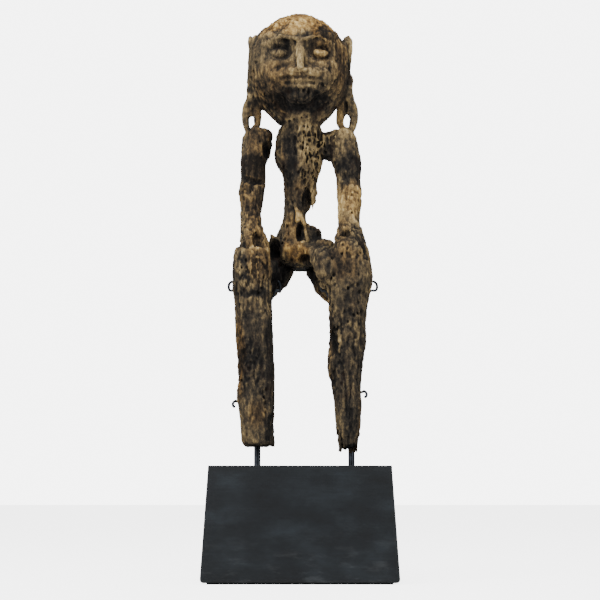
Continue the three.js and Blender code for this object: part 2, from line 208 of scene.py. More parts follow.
@dataclass(frozen=True)
class WeatheredIronwood(Finish):
    """Old ironwood left in the rain: dry raised fibres, pale on the ridges and black in the rot.

    The hollows carry painted shade laid over that dark rot, shadowed places and undersides carry
    painted shade, and lit tops carry painted highlights. Nothing shines.
    """

    bump_mm: float = 1.9

    GRAINS = {
        "fibre": Grain((2.5, 2.5, 12.0), 4.0, 0.7),
        "streak": Grain((8.0, 8.0, 40.0)),
        "mottle": Grain((7.0, 7.0, 10.0), 4.0, 0.6),
        "grit": Grain((2.4, 2.4, 3.2), 3.0, 0.7),
        "rust": Grain((16.0, 16.0, 34.0)),
        "fine": Grain((0.9, 0.9, 6.0), 3.0, 0.6),
    }
    # ridge paints the hollows dark and proud wood pale: painted shade in the hollows, laid over the
    # darker rotted wood. The stain layer darkens with real stains and painted shade, and lightens
    # with painted highlights.
    WEIGHTS = {
        "fibre": 0.5, "streak": 0.4, "mottle": 0.75, "grit": 0.5, "ridge": 0.42, "stain": -0.34
    }
    TONE = -0.755
    GREY_WOOD = (
        (0.0, "#0C0B0B"),
        (0.25, "#1E1C1A"),
        (0.46, "#3D362C"),
        (0.64, "#695A41"),
        (0.83, "#98825A"),
        (1.0, "#C6AF82"),
    )
    WARM_WOOD = (
        (0.0, "#0C0A07"),
        (0.25, "#201911"),
        (0.46, "#473724"),
        (0.64, "#795C35"),
        (0.83, "#A9874D"),
        (1.0, "#D2B478"),
    )
    RUST = "#4E3826"

    def dress(self, tree: Tree, shader: bpy.types.Node, layers: Layers) -> None:
        """Colours the wood by its fibres and its stains, with painted shade in its hollows,
        undersides and shadowed places, and painted highlights on its lit tops.
        """
        for name in ("ridge", "stain", "ochre"):
            node = add_node(tree, "ShaderNodeAttribute", {"attribute_name": name})
            layers[name] = node.outputs["Fac"]
        tone: Any = self.TONE
        for name, weight in self.WEIGHTS.items():
            parts = {0: layers[name], 1: weight, 2: tone}
            tone = add_node(tree, "ShaderNodeMath", {"operation": "MULTIPLY_ADD"}, parts).outputs[0]
        grey, warm = (
            add_node(tree, "ShaderNodeValToRGB", {"stops": stops}, {"Fac": tone}).outputs["Color"]
            for stops in (self.GREY_WOOD, self.WARM_WOOD)
        )
        rusty: Any = layers["rust"]
        for gain, shift in ((3.0, -1.6), (0.3, 0.0)):
            settings = {"operation": "MULTIPLY_ADD", "use_clamp": True}
            parts = {0: rusty, 1: gain, 2: shift}
            rusty = add_node(tree, "ShaderNodeMath", settings, parts).outputs[0]
        wood: Any = grey
        for share, over in ((layers["ochre"], warm), (rusty, linear(self.RUST))):
            parts = {0: share, 6: wood, 7: over}
            wood = add_node(tree, "ShaderNodeMix", {"data_type": "RGBA"}, parts).outputs[2]
        tree.links.new(wood, shader.inputs["Base Color"])
        shader.inputs["Specular IOR Level"].default_value = 0.15
        height: Any = layers["fibre"]
        for name, weight in (("fine", 0.5), ("grit", 0.6)):
            parts = {0: layers[name], 1: weight, 2: height}
            summed = add_node(tree, "ShaderNodeMath", {"operation": "MULTIPLY_ADD"}, parts)
            height = summed.outputs[0]
        relief = {"Height": height, "Distance": self.bump_mm * MM, "Strength": 1.0}
        bumped = add_node(tree, "ShaderNodeBump", inputs=relief)
        tree.links.new(bumped.outputs["Normal"], shader.inputs["Normal"])


@dataclass(frozen=True)
class EbonisedWood(Finish):
    """Wood stained black and brushed with thin varnish: a soft sheen with faint level brush lines.

    Dust and scuffs gather low on the faces, and the arrises are knocked pale in places.
    """

    half_low: tuple[float, float] = (0.15, 0.095)
    half_high: tuple[float, float] = (0.139, 0.086)
    low_z: float = 0.0
    high_z: float = 0.175
    arris_mm: float = 2.4
    dust_height: float = 0.08

    GRAINS = {
        "brush": Grain((90.0, 90.0, 1.8)),
        "bloom": Grain((70.0, 70.0, 40.0), 4.0, 0.6),
        "specks": Grain((34.0, 34.0, 11.0), 5.0, 0.62),
        "chips": Grain((4.0, 4.0, 3.0), 3.0, 0.7),
        "knocks": Grain((9.0, 9.0, 9.0), 3.0, 0.7),
    }
    STAINED = ((0.3, "#090B0E"), (0.5, "#12161A"), (0.7, "#20262B"))
    CLAMPED = ("worn", "low", "dust", "knocked", "rough")

    def dress(self, tree: Tree, shader: bpy.types.Node, layers: Layers) -> None:
        """Brush lines, a cool bloom, dust low on the faces and pale knocks along the arrises."""
        split = add_node(tree, "ShaderNodeSeparateXYZ", inputs={0: layers["place"]}).outputs
        made: dict[Any, Any] = {**layers, "x": split["X"], "y": split["Y"], "z": split["Z"]}
        tall = self.high_z - self.low_z
        lean_x, lean_y = (high - low for high, low in zip(self.half_high, self.half_low))
        sums: list[tuple] = [
            ("rise", "SUBTRACT", "z", self.low_z),
            ("share", "DIVIDE", "rise", tall),
            ("reach", "MULTIPLY", "chips", self.arris_mm * MM),
            ("half_x", "MULTIPLY_ADD", "share", lean_x, self.half_low[0]),
            ("half_y", "MULTIPLY_ADD", "share", lean_y, self.half_low[1]),
            ("out_x", "ABSOLUTE", "x"),
            ("out_y", "ABSOLUTE", "y"),
            ("gap_x", "SUBTRACT", "half_x", "out_x"),
            ("gap_y", "SUBTRACT", "half_y", "out_y"),
            ("gap_top", "SUBTRACT", tall, "rise"),
            ("reach_top", "MULTIPLY", "reach", 0.5),
            ("near_x", "LESS_THAN", "gap_x", "reach"),
            ("near_y", "LESS_THAN", "gap_y", "reach"),
            ("near_floor", "LESS_THAN", "rise", "reach"),
            ("near_top", "LESS_THAN", "gap_top", "reach_top"),
            ("sides", "ADD", "near_x", "near_y"),
            ("ends", "ADD", "near_floor", "near_top"),
            ("faces", "ADD", "sides", "ends"),
            ("worn", "SUBTRACT", "faces", 1.0),
            ("bloomed", "MULTIPLY", "bloom", 0.85),
            ("shade", "MULTIPLY_ADD", "brush", 0.15, "bloomed"),
            ("below", "SUBTRACT", self.low_z + self.dust_height, "z"),
            ("low", "DIVIDE", "below", self.dust_height),
            ("dust", "MULTIPLY_ADD", "specks", 5.0, -2.7),
            ("settled", "MULTIPLY", "dust", "low"),
            ("dusty", "MULTIPLY", "settled", 0.2),
            ("rubbed", "MULTIPLY", "worn", 0.12),
            ("knocked", "MULTIPLY_ADD", "knocks", 10.0, -5.9),
            ("chipped", "MULTIPLY", "knocked", "worn"),
            ("brushed", "MULTIPLY_ADD", "brush", 0.2, self.roughness - 0.1),
            ("rough", "MULTIPLY_ADD", "settled", 0.3, "brushed"),
            ("relief", "MULTIPLY_ADD", "chipped", -2.0, "brush"),
        ]
        for name, operation, *terms in sums:
            settings = {"operation": operation, "use_clamp": name in self.CLAMPED}
            parts = {index: made.get(term, term) for index, term in enumerate(terms)}
            made[name] = add_node(tree, "ShaderNodeMath", settings, parts).outputs[0]
        ramp = add_node(tree, "ShaderNodeValToRGB", {"stops": self.STAINED}, {"Fac": made["shade"]})
        colour = ramp.outputs["Color"]
        for name, over in (("dusty", "#6E7275"), ("rubbed", "#4C5054"), ("chipped", "#77736B")):
            parts = {0: made[name], 6: colour, 7: linear(over)}
            colour = add_node(tree, "ShaderNodeMix", {"data_type": "RGBA"}, parts).outputs[2]
        tree.links.new(colour, shader.inputs["Base Color"])
        tree.links.new(made["rough"], shader.inputs["Roughness"])
        shader.inputs["Specular IOR Level"].default_value = 0.3
        relief = {"Height": made["relief"], "Distance": 0.15 * MM, "Strength": 1.0}
        bumped = add_node(tree, "ShaderNodeBump", inputs=relief)
        tree.links.new(bumped.outputs["Normal"], shader.inputs["Normal"])


@dataclass(frozen=True)
class BlackenedSteel(Finish):
    """Mild steel rod and wire, chemically blackened and waxed.

    It is dark blue-grey with a long highlight.
    """

    GRAINS = {"mottle": Grain((6.0, 6.0, 9.0), 4.0, 0.65), "skin": Grain((0.8, 0.8, 0.8))}
    BLACKENED = ((0.3, "#1F2226"), (0.55, "#2E3238"), (0.75, "#4A4F57"))

    def dress(self, tree: Tree, shader: bpy.types.Node, layers: Layers) -> None:
        """Mottles the blackening and varies its sheen."""
        mottle = layers["mottle"]
        ramp = add_node(tree, "ShaderNodeValToRGB", {"stops": self.BLACKENED}, {"Fac": mottle})
        tree.links.new(ramp.outputs["Color"], shader.inputs["Base Color"])
        parts = {0: mottle, 1: 0.3, 2: self.roughness - 0.15}
        rough = add_node(tree, "ShaderNodeMath", {"operation": "MULTIPLY_ADD"}, parts)
        tree.links.new(rough.outputs[0], shader.inputs["Roughness"])
        relief = {"Height": layers["skin"], "Distance": 0.05 * MM, "Strength": 1.0}
        bumped = add_node(tree, "ShaderNodeBump", inputs=relief)
        tree.links.new(bumped.outputs["Normal"], shader.inputs["Normal"])


@dataclass(frozen=True)
class ZincPlatedSteel(Finish):
    """Bright zinc plate on pressed washers and nuts: pale grey, slightly cloudy."""

    GRAINS = {"cloud": Grain((4.0, 4.0, 4.0), 4.0)}
    PLATE = ((0.3, "#9DA0A2"), (0.7, "#C6C8CA"))

    def dress(self, tree: Tree, shader: bpy.types.Node, layers: Layers) -> None:
        """Clouds the plate."""
        cloud = layers["cloud"]
        ramp = add_node(tree, "ShaderNodeValToRGB", {"stops": self.PLATE}, {"Fac": cloud})
        tree.links.new(ramp.outputs["Color"], shader.inputs["Base Color"])
        parts = {0: cloud, 1: 0.2, 2: self.roughness - 0.1}
        rough = add_node(tree, "ShaderNodeMath", {"operation": "MULTIPLY_ADD"}, parts)
        tree.links.new(rough.outputs[0], shader.inputs["Roughness"])


@dataclass(frozen=True)
class PressedFelt(Finish):
    """Pressed wool felt: matt black with a fine nap."""

    GRAINS = {"nap": Grain((1.2, 1.2, 1.2), 4.0, 0.7)}
    DYED = ((0.35, "#141517"), (0.7, "#26282B"))

    def dress(self, tree: Tree, shader: bpy.types.Node, layers: Layers) -> None:
        """Gives the nap its colour and its fuzz."""
        nap = layers["nap"]
        ramp = add_node(tree, "ShaderNodeValToRGB", {"stops": self.DYED}, {"Fac": nap})
        tree.links.new(ramp.outputs["Color"], shader.inputs["Base Color"])
        shader.inputs["Sheen Weight"].default_value = 0.3
        relief = {"Height": nap, "Distance": 0.5 * MM, "Strength": 1.0}
        bumped = add_node(tree, "ShaderNodeBump", inputs=relief)
        tree.links.new(bumped.outputs["Normal"], shader.inputs["Normal"])


@dataclass(frozen=True)
class StudioPaper(Finish):
    """A pale seamless paper floor, lit bright so that only a faint shadow is left on it."""

    burn_out: float = 4.0

    def dress(self, tree: Tree, shader: bpy.types.Node, layers: Layers) -> None:
        """Sets one plain pale colour, and burns the paper out as a bright studio floor is."""
        shader.inputs["Base Color"].default_value = linear("#F6F6F6")
        shader.inputs["Emission Color"].default_value = linear("#FFFFFF")
        seen = add_node(tree, "ShaderNodeLightPath").outputs["Is Camera Ray"]
        parts = {0: seen, 1: self.burn_out}
        glow = add_node(tree, "ShaderNodeMath", {"operation": "MULTIPLY"}, parts)
        tree.links.new(glow.outputs[0], shader.inputs["Emission Strength"])


# ---------------------------------------------------------------------------------------
# Noise and solid shapes for the carving, all in millimetres
# ---------------------------------------------------------------------------------------


def corner_shares(part: Array) -> Iterator[tuple[tuple[int, ...], Array]]:
    """Gives each corner of a lattice cell its share at each point.

    Args:
        part: How far along the cell each point lies on X, Y and Z.

    Returns:
        Each corner's steps along the axes, and its share at each point.
    """
    for steps in product((0, 1), repeat=3):
        x, y, z = (part[:, a] if step else 1 - part[:, a] for a, step in enumerate(steps))
        yield steps, x * y * z


def value_noise(points: Array, cell: Sequence[float], seed: int) -> Array:
    """Smooth noise between 0 and 1 on a lattice.

    Args:
        points: Places, one per row, in millimetres.
        cell: The lattice's spacing along X, Y and Z, in millimetres.
        seed: Which noise.

    Returns:
        One value for each point.
    """
    size = 64
    table = np.random.default_rng(seed).random((size, size, size), dtype=np.float32).ravel()
    scaled = points / np.asarray(cell, np.float32) + 1000.0
    corner = np.floor(scaled).astype(np.int64)
    part = (scaled - corner).astype(np.float32)
    part = part * part * (3 - 2 * part)
    total = np.zeros(len(points), np.float32)
    for (dx, dy, dz), weight in corner_shares(part):
        index = ((corner[:, 0] + dx) % size * size + (corner[:, 1] + dy) % size) * size
        total += weight * table[index + (corner[:, 2] + dz) % size]
    return total


def cell_noise(points: Array, cell: Sequence[float], seed: int) -> tuple[Array, Array]:
    """Distances to the nearest and second nearest of scattered seeds, in cells.

    Args:
        points: Places, one per row, in millimetres.
        cell: The seeds' mean spacing along X, Y and Z, in millimetres.
        seed: Which scatter.

    Returns:
        The nearest and the second nearest distance for each point.
    """
    size = 32
    table = np.random.default_rng(seed).random((size, size, size, 3), dtype=np.float32)
    scaled = (points / np.asarray(cell, np.float32) + 1000.0).astype(np.float64)
    corner = np.floor(scaled).astype(np.int64)
    part = (scaled - corner).astype(np.float32)
    first = np.full(len(points), 9.0, np.float32)
    second = first.copy()
    for steps in product((-1, 0, 1), repeat=3):
        index = (corner + steps) % size
        offset = table[index[:, 0], index[:, 1], index[:, 2]] + steps - part
        distance = np.sqrt((offset * offset).sum(1))
        second = np.minimum(second, np.maximum(first, distance))
        first = np.minimum(first, distance)
    return first, second


def smooth_step(low: float, high: float, value: Array) -> Array:
    """Rises smoothly from 0 at low to 1 at high."""
    share = np.clip((value - low) / (high - low), 0, 1)
    return share * share * (3 - 2 * share)


def ball(points: Array, centre: Sequence[float], radii: Sequence[float]) -> Array:
    """Signed distance, near enough, to an ellipsoid.

    Args:
        points: Places, one per row.
        centre: The ellipsoid's middle.
        radii: Its half sizes.

    Returns:
        The distance at each point, negative inside.
    """
    offset = points - np.asarray(centre, np.float32)
    shares = offset / np.asarray(radii, np.float32)
    outer = np.sqrt((shares * shares).sum(1)) + 1e-6
    inner = np.sqrt(((shares / np.asarray(radii, np.float32)) ** 2).sum(1)) + 1e-6
    return (outer * (outer - 1) / inner).astype(np.float32)


def rod_shape(
    points: Array, start: Sequence[float], end: Sequence[float], radius: tuple[float, float]
) -> Array:
    """Signed distance to a round-ended bar that tapers.

    Args:
        points: Places, one per row.
        start: The middle of its first end.
        end: The middle of its last end.
        radius: Its radius at each end.

    Returns:
        The distance at each point, negative inside.
    """
    a = np.asarray(start, np.float32)
    along = np.asarray(end, np.float32) - a
    share = np.clip(((points - a) @ along) / float(along @ along), 0, 1)
    nearest = a + share[:, None] * along
    thick = radius[0] + share * (radius[1] - radius[0])
    return (np.linalg.norm(points - nearest, axis=1) - thick).astype(np.float32)


def blend_min(first: Array, second: Array, soft: float) -> Array:
    """The lower of two fields, blended over a soft width."""
    share = np.clip(0.5 + 0.5 * (second - first) / soft, 0, 1)
    return second + (first - second) * share - soft * share * (1 - share)


def blend_max(first: Array, second: Array, soft: float) -> Array:
    """The higher of two fields, blended over a soft width."""
    return -blend_min(-first, -second, soft)


@dataclass
class CarvingBlock:
    """A grid of signed distances to the carving's surface, negative in the wood.

    Lengths are millimetres, and heights are measured from the bottom of the feet.
    """

    pitch: float
    foot: float = 0.0
    wander: float = 6.0
    low: Array = field(default_factory=lambda: np.zeros(3, np.float32))
    values: Array = field(default_factory=lambda: np.zeros((1, 1, 1), np.float32))

    DEPTH = 16.0
    MARGIN = 4.0

    def load(self, node: str) -> None:
        """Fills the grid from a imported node's closed mesh.

        Args:
            node: The node's name.
        """
        self.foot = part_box(node)[0].z / MM
        copy = merged_copy(node)
        points = np.array([v.co[:] for v in copy.verts], np.float32) / MM
        points[:, 2] -= self.foot
        faces = np.array([[v.index for v in f.verts] for f in copy.faces], np.uint32)
        copy.free()
        layers = self.DEPTH / self.pitch
        pad = self.DEPTH + 2 * self.pitch
        self.low = np.floor((points.min(0) - pad) / self.pitch) * self.pitch
        count = np.ceil((points.max(0) + pad - self.low) / self.pitch).astype(int)
        grid = vdb.FloatGrid.createLevelSetFromPolygons(
            (points - self.low) / self.pitch, triangles=faces, halfWidth=layers
        )
        self.values = np.full(tuple(count), layers, np.float32)
        grid.copyToArray(self.values)
        self.values *= self.pitch

    def smooth(self, sigma: float) -> Array:
        """Blurs a copy of the grid.

        Args:
            sigma: How far, in millimetres.

        Returns:
            The blurred values.
        """
        steps = sigma / self.pitch
        reach = max(1, math.ceil(2.2 * steps))
        weights = np.exp(-0.5 * (np.arange(-reach, reach + 1) / steps) ** 2)
        weights /= weights.sum()
        result = self.values
        for axis in range(3):
            edges = [(reach, reach) if a == axis else (0, 0) for a in range(3)]
            padded = np.pad(result, edges, "edge")
            length = result.shape[axis]
            total = np.zeros_like(result)
            for shift, weight in enumerate(weights):
                window = [slice(None)] * 3
                window[axis] = slice(shift, shift + length)
                total += np.float32(weight) * padded[tuple(window)]
            result = total
        return result

    def near(self, low: Sequence[float], high: Sequence[float]) -> tuple[tuple, Array]:
        """The cells between two corners.

        Args:
            low: The lowest corner.
            high: The highest corner.

        Returns:
            The grid's slices there, and the cells' places, one per row.
        """
        first = np.floor((np.asarray(low) - self.low) / self.pitch).astype(int)
        last = np.ceil((np.asarray(high) - self.low) / self.pitch).astype(int) + 1
        first = np.clip(first, 0, self.values.shape)
        last = np.clip(last, 0, self.values.shape)
        axes = [self.low[a] + self.pitch * np.arange(first[a], last[a]) for a in range(3)]
        grid = np.stack(np.meshgrid(*axes, indexing="ij"), -1).reshape(-1, 3)
        return tuple(slice(a, b) for a, b in zip(first, last)), grid.astype(np.float32)

    def wandered(self, places: Array) -> Array:
        """Shifts places by up to a few millimetres, so that no mark is a perfect shape."""
        shift = [value_noise(places, (9, 9, 13), seed) - 0.5 for seed in (31, 32, 33)]
        return places + self.wander * np.stack(shift, 1)

    def work(
        self,
        tool: Tool,
        shape: Callable[[Array], Array],
        low: Array,
        high: Array,
        soft: float,
    ) -> None:
        """Joins a shape to the wood or takes it out.

        Args:
            tool: Which of the two.
            shape: The shape's signed distance.
            low: The shape's lowest corner.
            high: The shape's highest corner.
            soft: How far the join is filled, or the cut's lip is rounded.
        """
        where, places = self.near(low - 2 * soft - self.MARGIN, high + 2 * soft + self.MARGIN)
        part = self.values[where]
        distance = shape(self.wandered(places))
        if tool is Tool.SWELL:
            worked = blend_min(part.ravel(), distance, soft)
        else:
            worked = blend_max(part.ravel(), -distance, soft)
        self.values[where] = worked.reshape(part.shape)

    def sample(self, values: Array, points: Array) -> Array:
        """Reads a grid at any places.

        Args:
            values: A grid of this block's shape.
            points: Places, one per row, in millimetres.

        Returns:
            The value at each place.
        """
        scaled = (points - self.low) / self.pitch
        corner = np.clip(np.floor(scaled).astype(int), 0, np.array(values.shape) - 2)
        part = (scaled - corner).astype(np.float32)
        total = np.zeros(len(points), np.float32)
        for steps, weight in corner_shares(part):
            i, j, k = (corner + steps).T
            total += weight * values[i, j, k]
        return total

    def surface(self) -> tuple[Array, Array]:
        """Finds the surface.

        Returns:
            Its points in millimetres, and its four-sided faces.
        """
        grid = vdb.FloatGrid(self.DEPTH)
        grid.copyFromArray(self.values)
        points, quads = grid.convertToQuads(0.0)
        return points * self.pitch + self.low, quads[:, ::-1].astype(np.int64)


def largest_shell(points: Array, faces: Array) -> tuple[Array, Array]:
    """Keeps the shell with the most points.

    Args:
        points: Places, one per row.
        faces: Point numbers, one face per row.

    Returns:
        The points and faces that are left.
    """
    label = np.arange(len(points))
    while True:
        lowest = label[faces].min(1)
        before = label.copy()
        np.minimum.at(label, faces.ravel(), np.repeat(lowest, faces.shape[1]))
        label = label[label]
        if np.array_equal(before, label):
            break
    names, counts = np.unique(label, return_counts=True)
    keep = label == names[counts.argmax()]
    number = np.cumsum(keep) - 1
    return points[keep], number[faces[keep[faces].all(1)]]


# ---------------------------------------------------------------------------------------
# Pieces
# ---------------------------------------------------------------------------------------


def put_in_scene(name: str, data: bpy.types.ID) -> bpy.types.Object:
    """Makes an object of a mesh, a light or a camera and links it to the scene."""
    placed = bpy.data.objects.new(name, data)
    bpy.context.scene.collection.objects.link(placed)
    return placed


def merged_copy(node: str) -> bmesh.types.BMesh:
    """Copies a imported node's mesh with its loose triangles joined."""
    copy = bmesh.new()
    copy.from_mesh(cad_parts[node].data)
    bmesh.ops.remove_doubles(copy, verts=copy.verts, dist=1e-6)
    return copy


def finished_mesh(holder: bpy.types.Object) -> bpy.types.Mesh:
    """Turns an object with modifiers into a plain mesh and removes the object."""
    evaluated = holder.evaluated_get(bpy.context.evaluated_depsgraph_get())
    mesh = bpy.data.meshes.new_from_object(evaluated)
    bpy.data.objects.remove(holder)
    return mesh


def make_piece(
    name: str,
    mesh: bpy.types.Mesh,
    body: Body,
    slot: Slot,
    material: bpy.types.Material,
    replaces: Sequence[str] = (),
) -> None:
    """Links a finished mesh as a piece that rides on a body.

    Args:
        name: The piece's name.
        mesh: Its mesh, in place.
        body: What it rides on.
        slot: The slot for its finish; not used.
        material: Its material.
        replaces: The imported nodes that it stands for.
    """
    piece = put_in_scene(name, mesh)
    mesh.materials.clear()
    mesh.materials.append(material)
    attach(piece, body.value)
    if replaces:
        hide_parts(*replaces)
    LOG.info("%s: %d faces on %s", name, len(mesh.polygons), body.value)


def mesh_from_arrays(name: str, points: Array, faces: Array) -> bpy.types.Mesh:
    """Makes a smooth-shaded mesh.

    Args:
        name: The mesh's name.
        points: Places in metres, one per row.
        faces: Point numbers, one face per row.

    Returns:
        The mesh.
    """
    mesh = bpy.data.meshes.new(name)
    count, sides = faces.shape
    mesh.vertices.add(len(points))
    mesh.vertices.foreach_set("co", np.ascontiguousarray(points, np.float32).ravel())
    mesh.loops.add(count * sides)
    mesh.loops.foreach_set("vertex_index", faces.astype(np.int32).ravel())
    mesh.polygons.add(count)
    mesh.polygons.foreach_set("loop_start", np.arange(0, count * sides, sides, dtype=np.int32))
    mesh.update(calc_edges=True)
    mesh.validate()
    mesh.shade_smooth()
    return mesh


@dataclass(frozen=True)
class Boss:
    """An ellipsoid added to the wood or taken out of it, in millimetres above the feet."""

    tool: Tool
    centre: tuple[float, float, float]
    radii: tuple[float, float, float]
    soft: float = 3.0

    def apply(self, block: CarvingBlock) -> None:
        """Works the mark into the block."""
        centre, radii = np.asarray(self.centre), np.asarray(self.radii)
        low, high = centre - radii, centre + radii
        block.work(self.tool, lambda places: ball(places, centre, radii), low, high, self.soft)


@dataclass(frozen=True)
class Bar:
    """A tapered round-ended run added to the wood or taken out of it, in millimetres."""

    tool: Tool
    path: tuple[tuple[float, float, float], ...]
    radius: tuple[float, float]
    soft: float = 2.0

    def apply(self, block: CarvingBlock) -> None:
        """Works the mark into the block, one stretch after another."""
        count = len(self.path) - 1
        thick = np.linspace(self.radius[0], self.radius[1], count + 1)
        for index in range(count):
            ends = np.array(self.path[index : index + 2], float)
            radius = (thick[index], thick[index + 1])
            reach = max(radius)
            block.work(
                self.tool,
                lambda places: rod_shape(places, ends[0], ends[1], radius),
                ends.min(0) - reach,
                ends.max(0) + reach,
                self.soft,
            )


@dataclass(frozen=True)
class Patch:
    """A soft-edged region of the carving where something is stronger, in millimetres."""

    centre: tuple[float, float, float]
    radii: tuple[float, float, float]
    amount: float = 1.0

    def share(self, points: Array, ragged: Array) -> Array:
        """How strongly the patch holds at each place.

        Args:
            points: Places, one per row.
            ragged: Noise that breaks up the patch's edge.

        Returns:
            From 0 outside to the patch's amount inside.
        """
        offset = (points - np.asarray(self.centre, np.float32)) / np.asarray(self.radii, np.float32)
        distance = np.sqrt((offset * offset).sum(1)) + 0.7 * (ragged - 0.5)
        return self.amount * smooth_step(1.15, 0.6, distance)


def mirrored(*marks: Boss | Bar) -> list[Boss | Bar]:
    """Gives each mark and its mirror image across the middle of the figure."""
    result: list[Boss | Bar] = []
    for mark in marks:
        if isinstance(mark, Boss):
            x, y, z = mark.centre
            other = replace(mark, centre=(-x, y, z))
        else:
            other = replace(mark, path=tuple((-x, y, z) for x, y, z in mark.path))
        result += [mark, other]
    return result


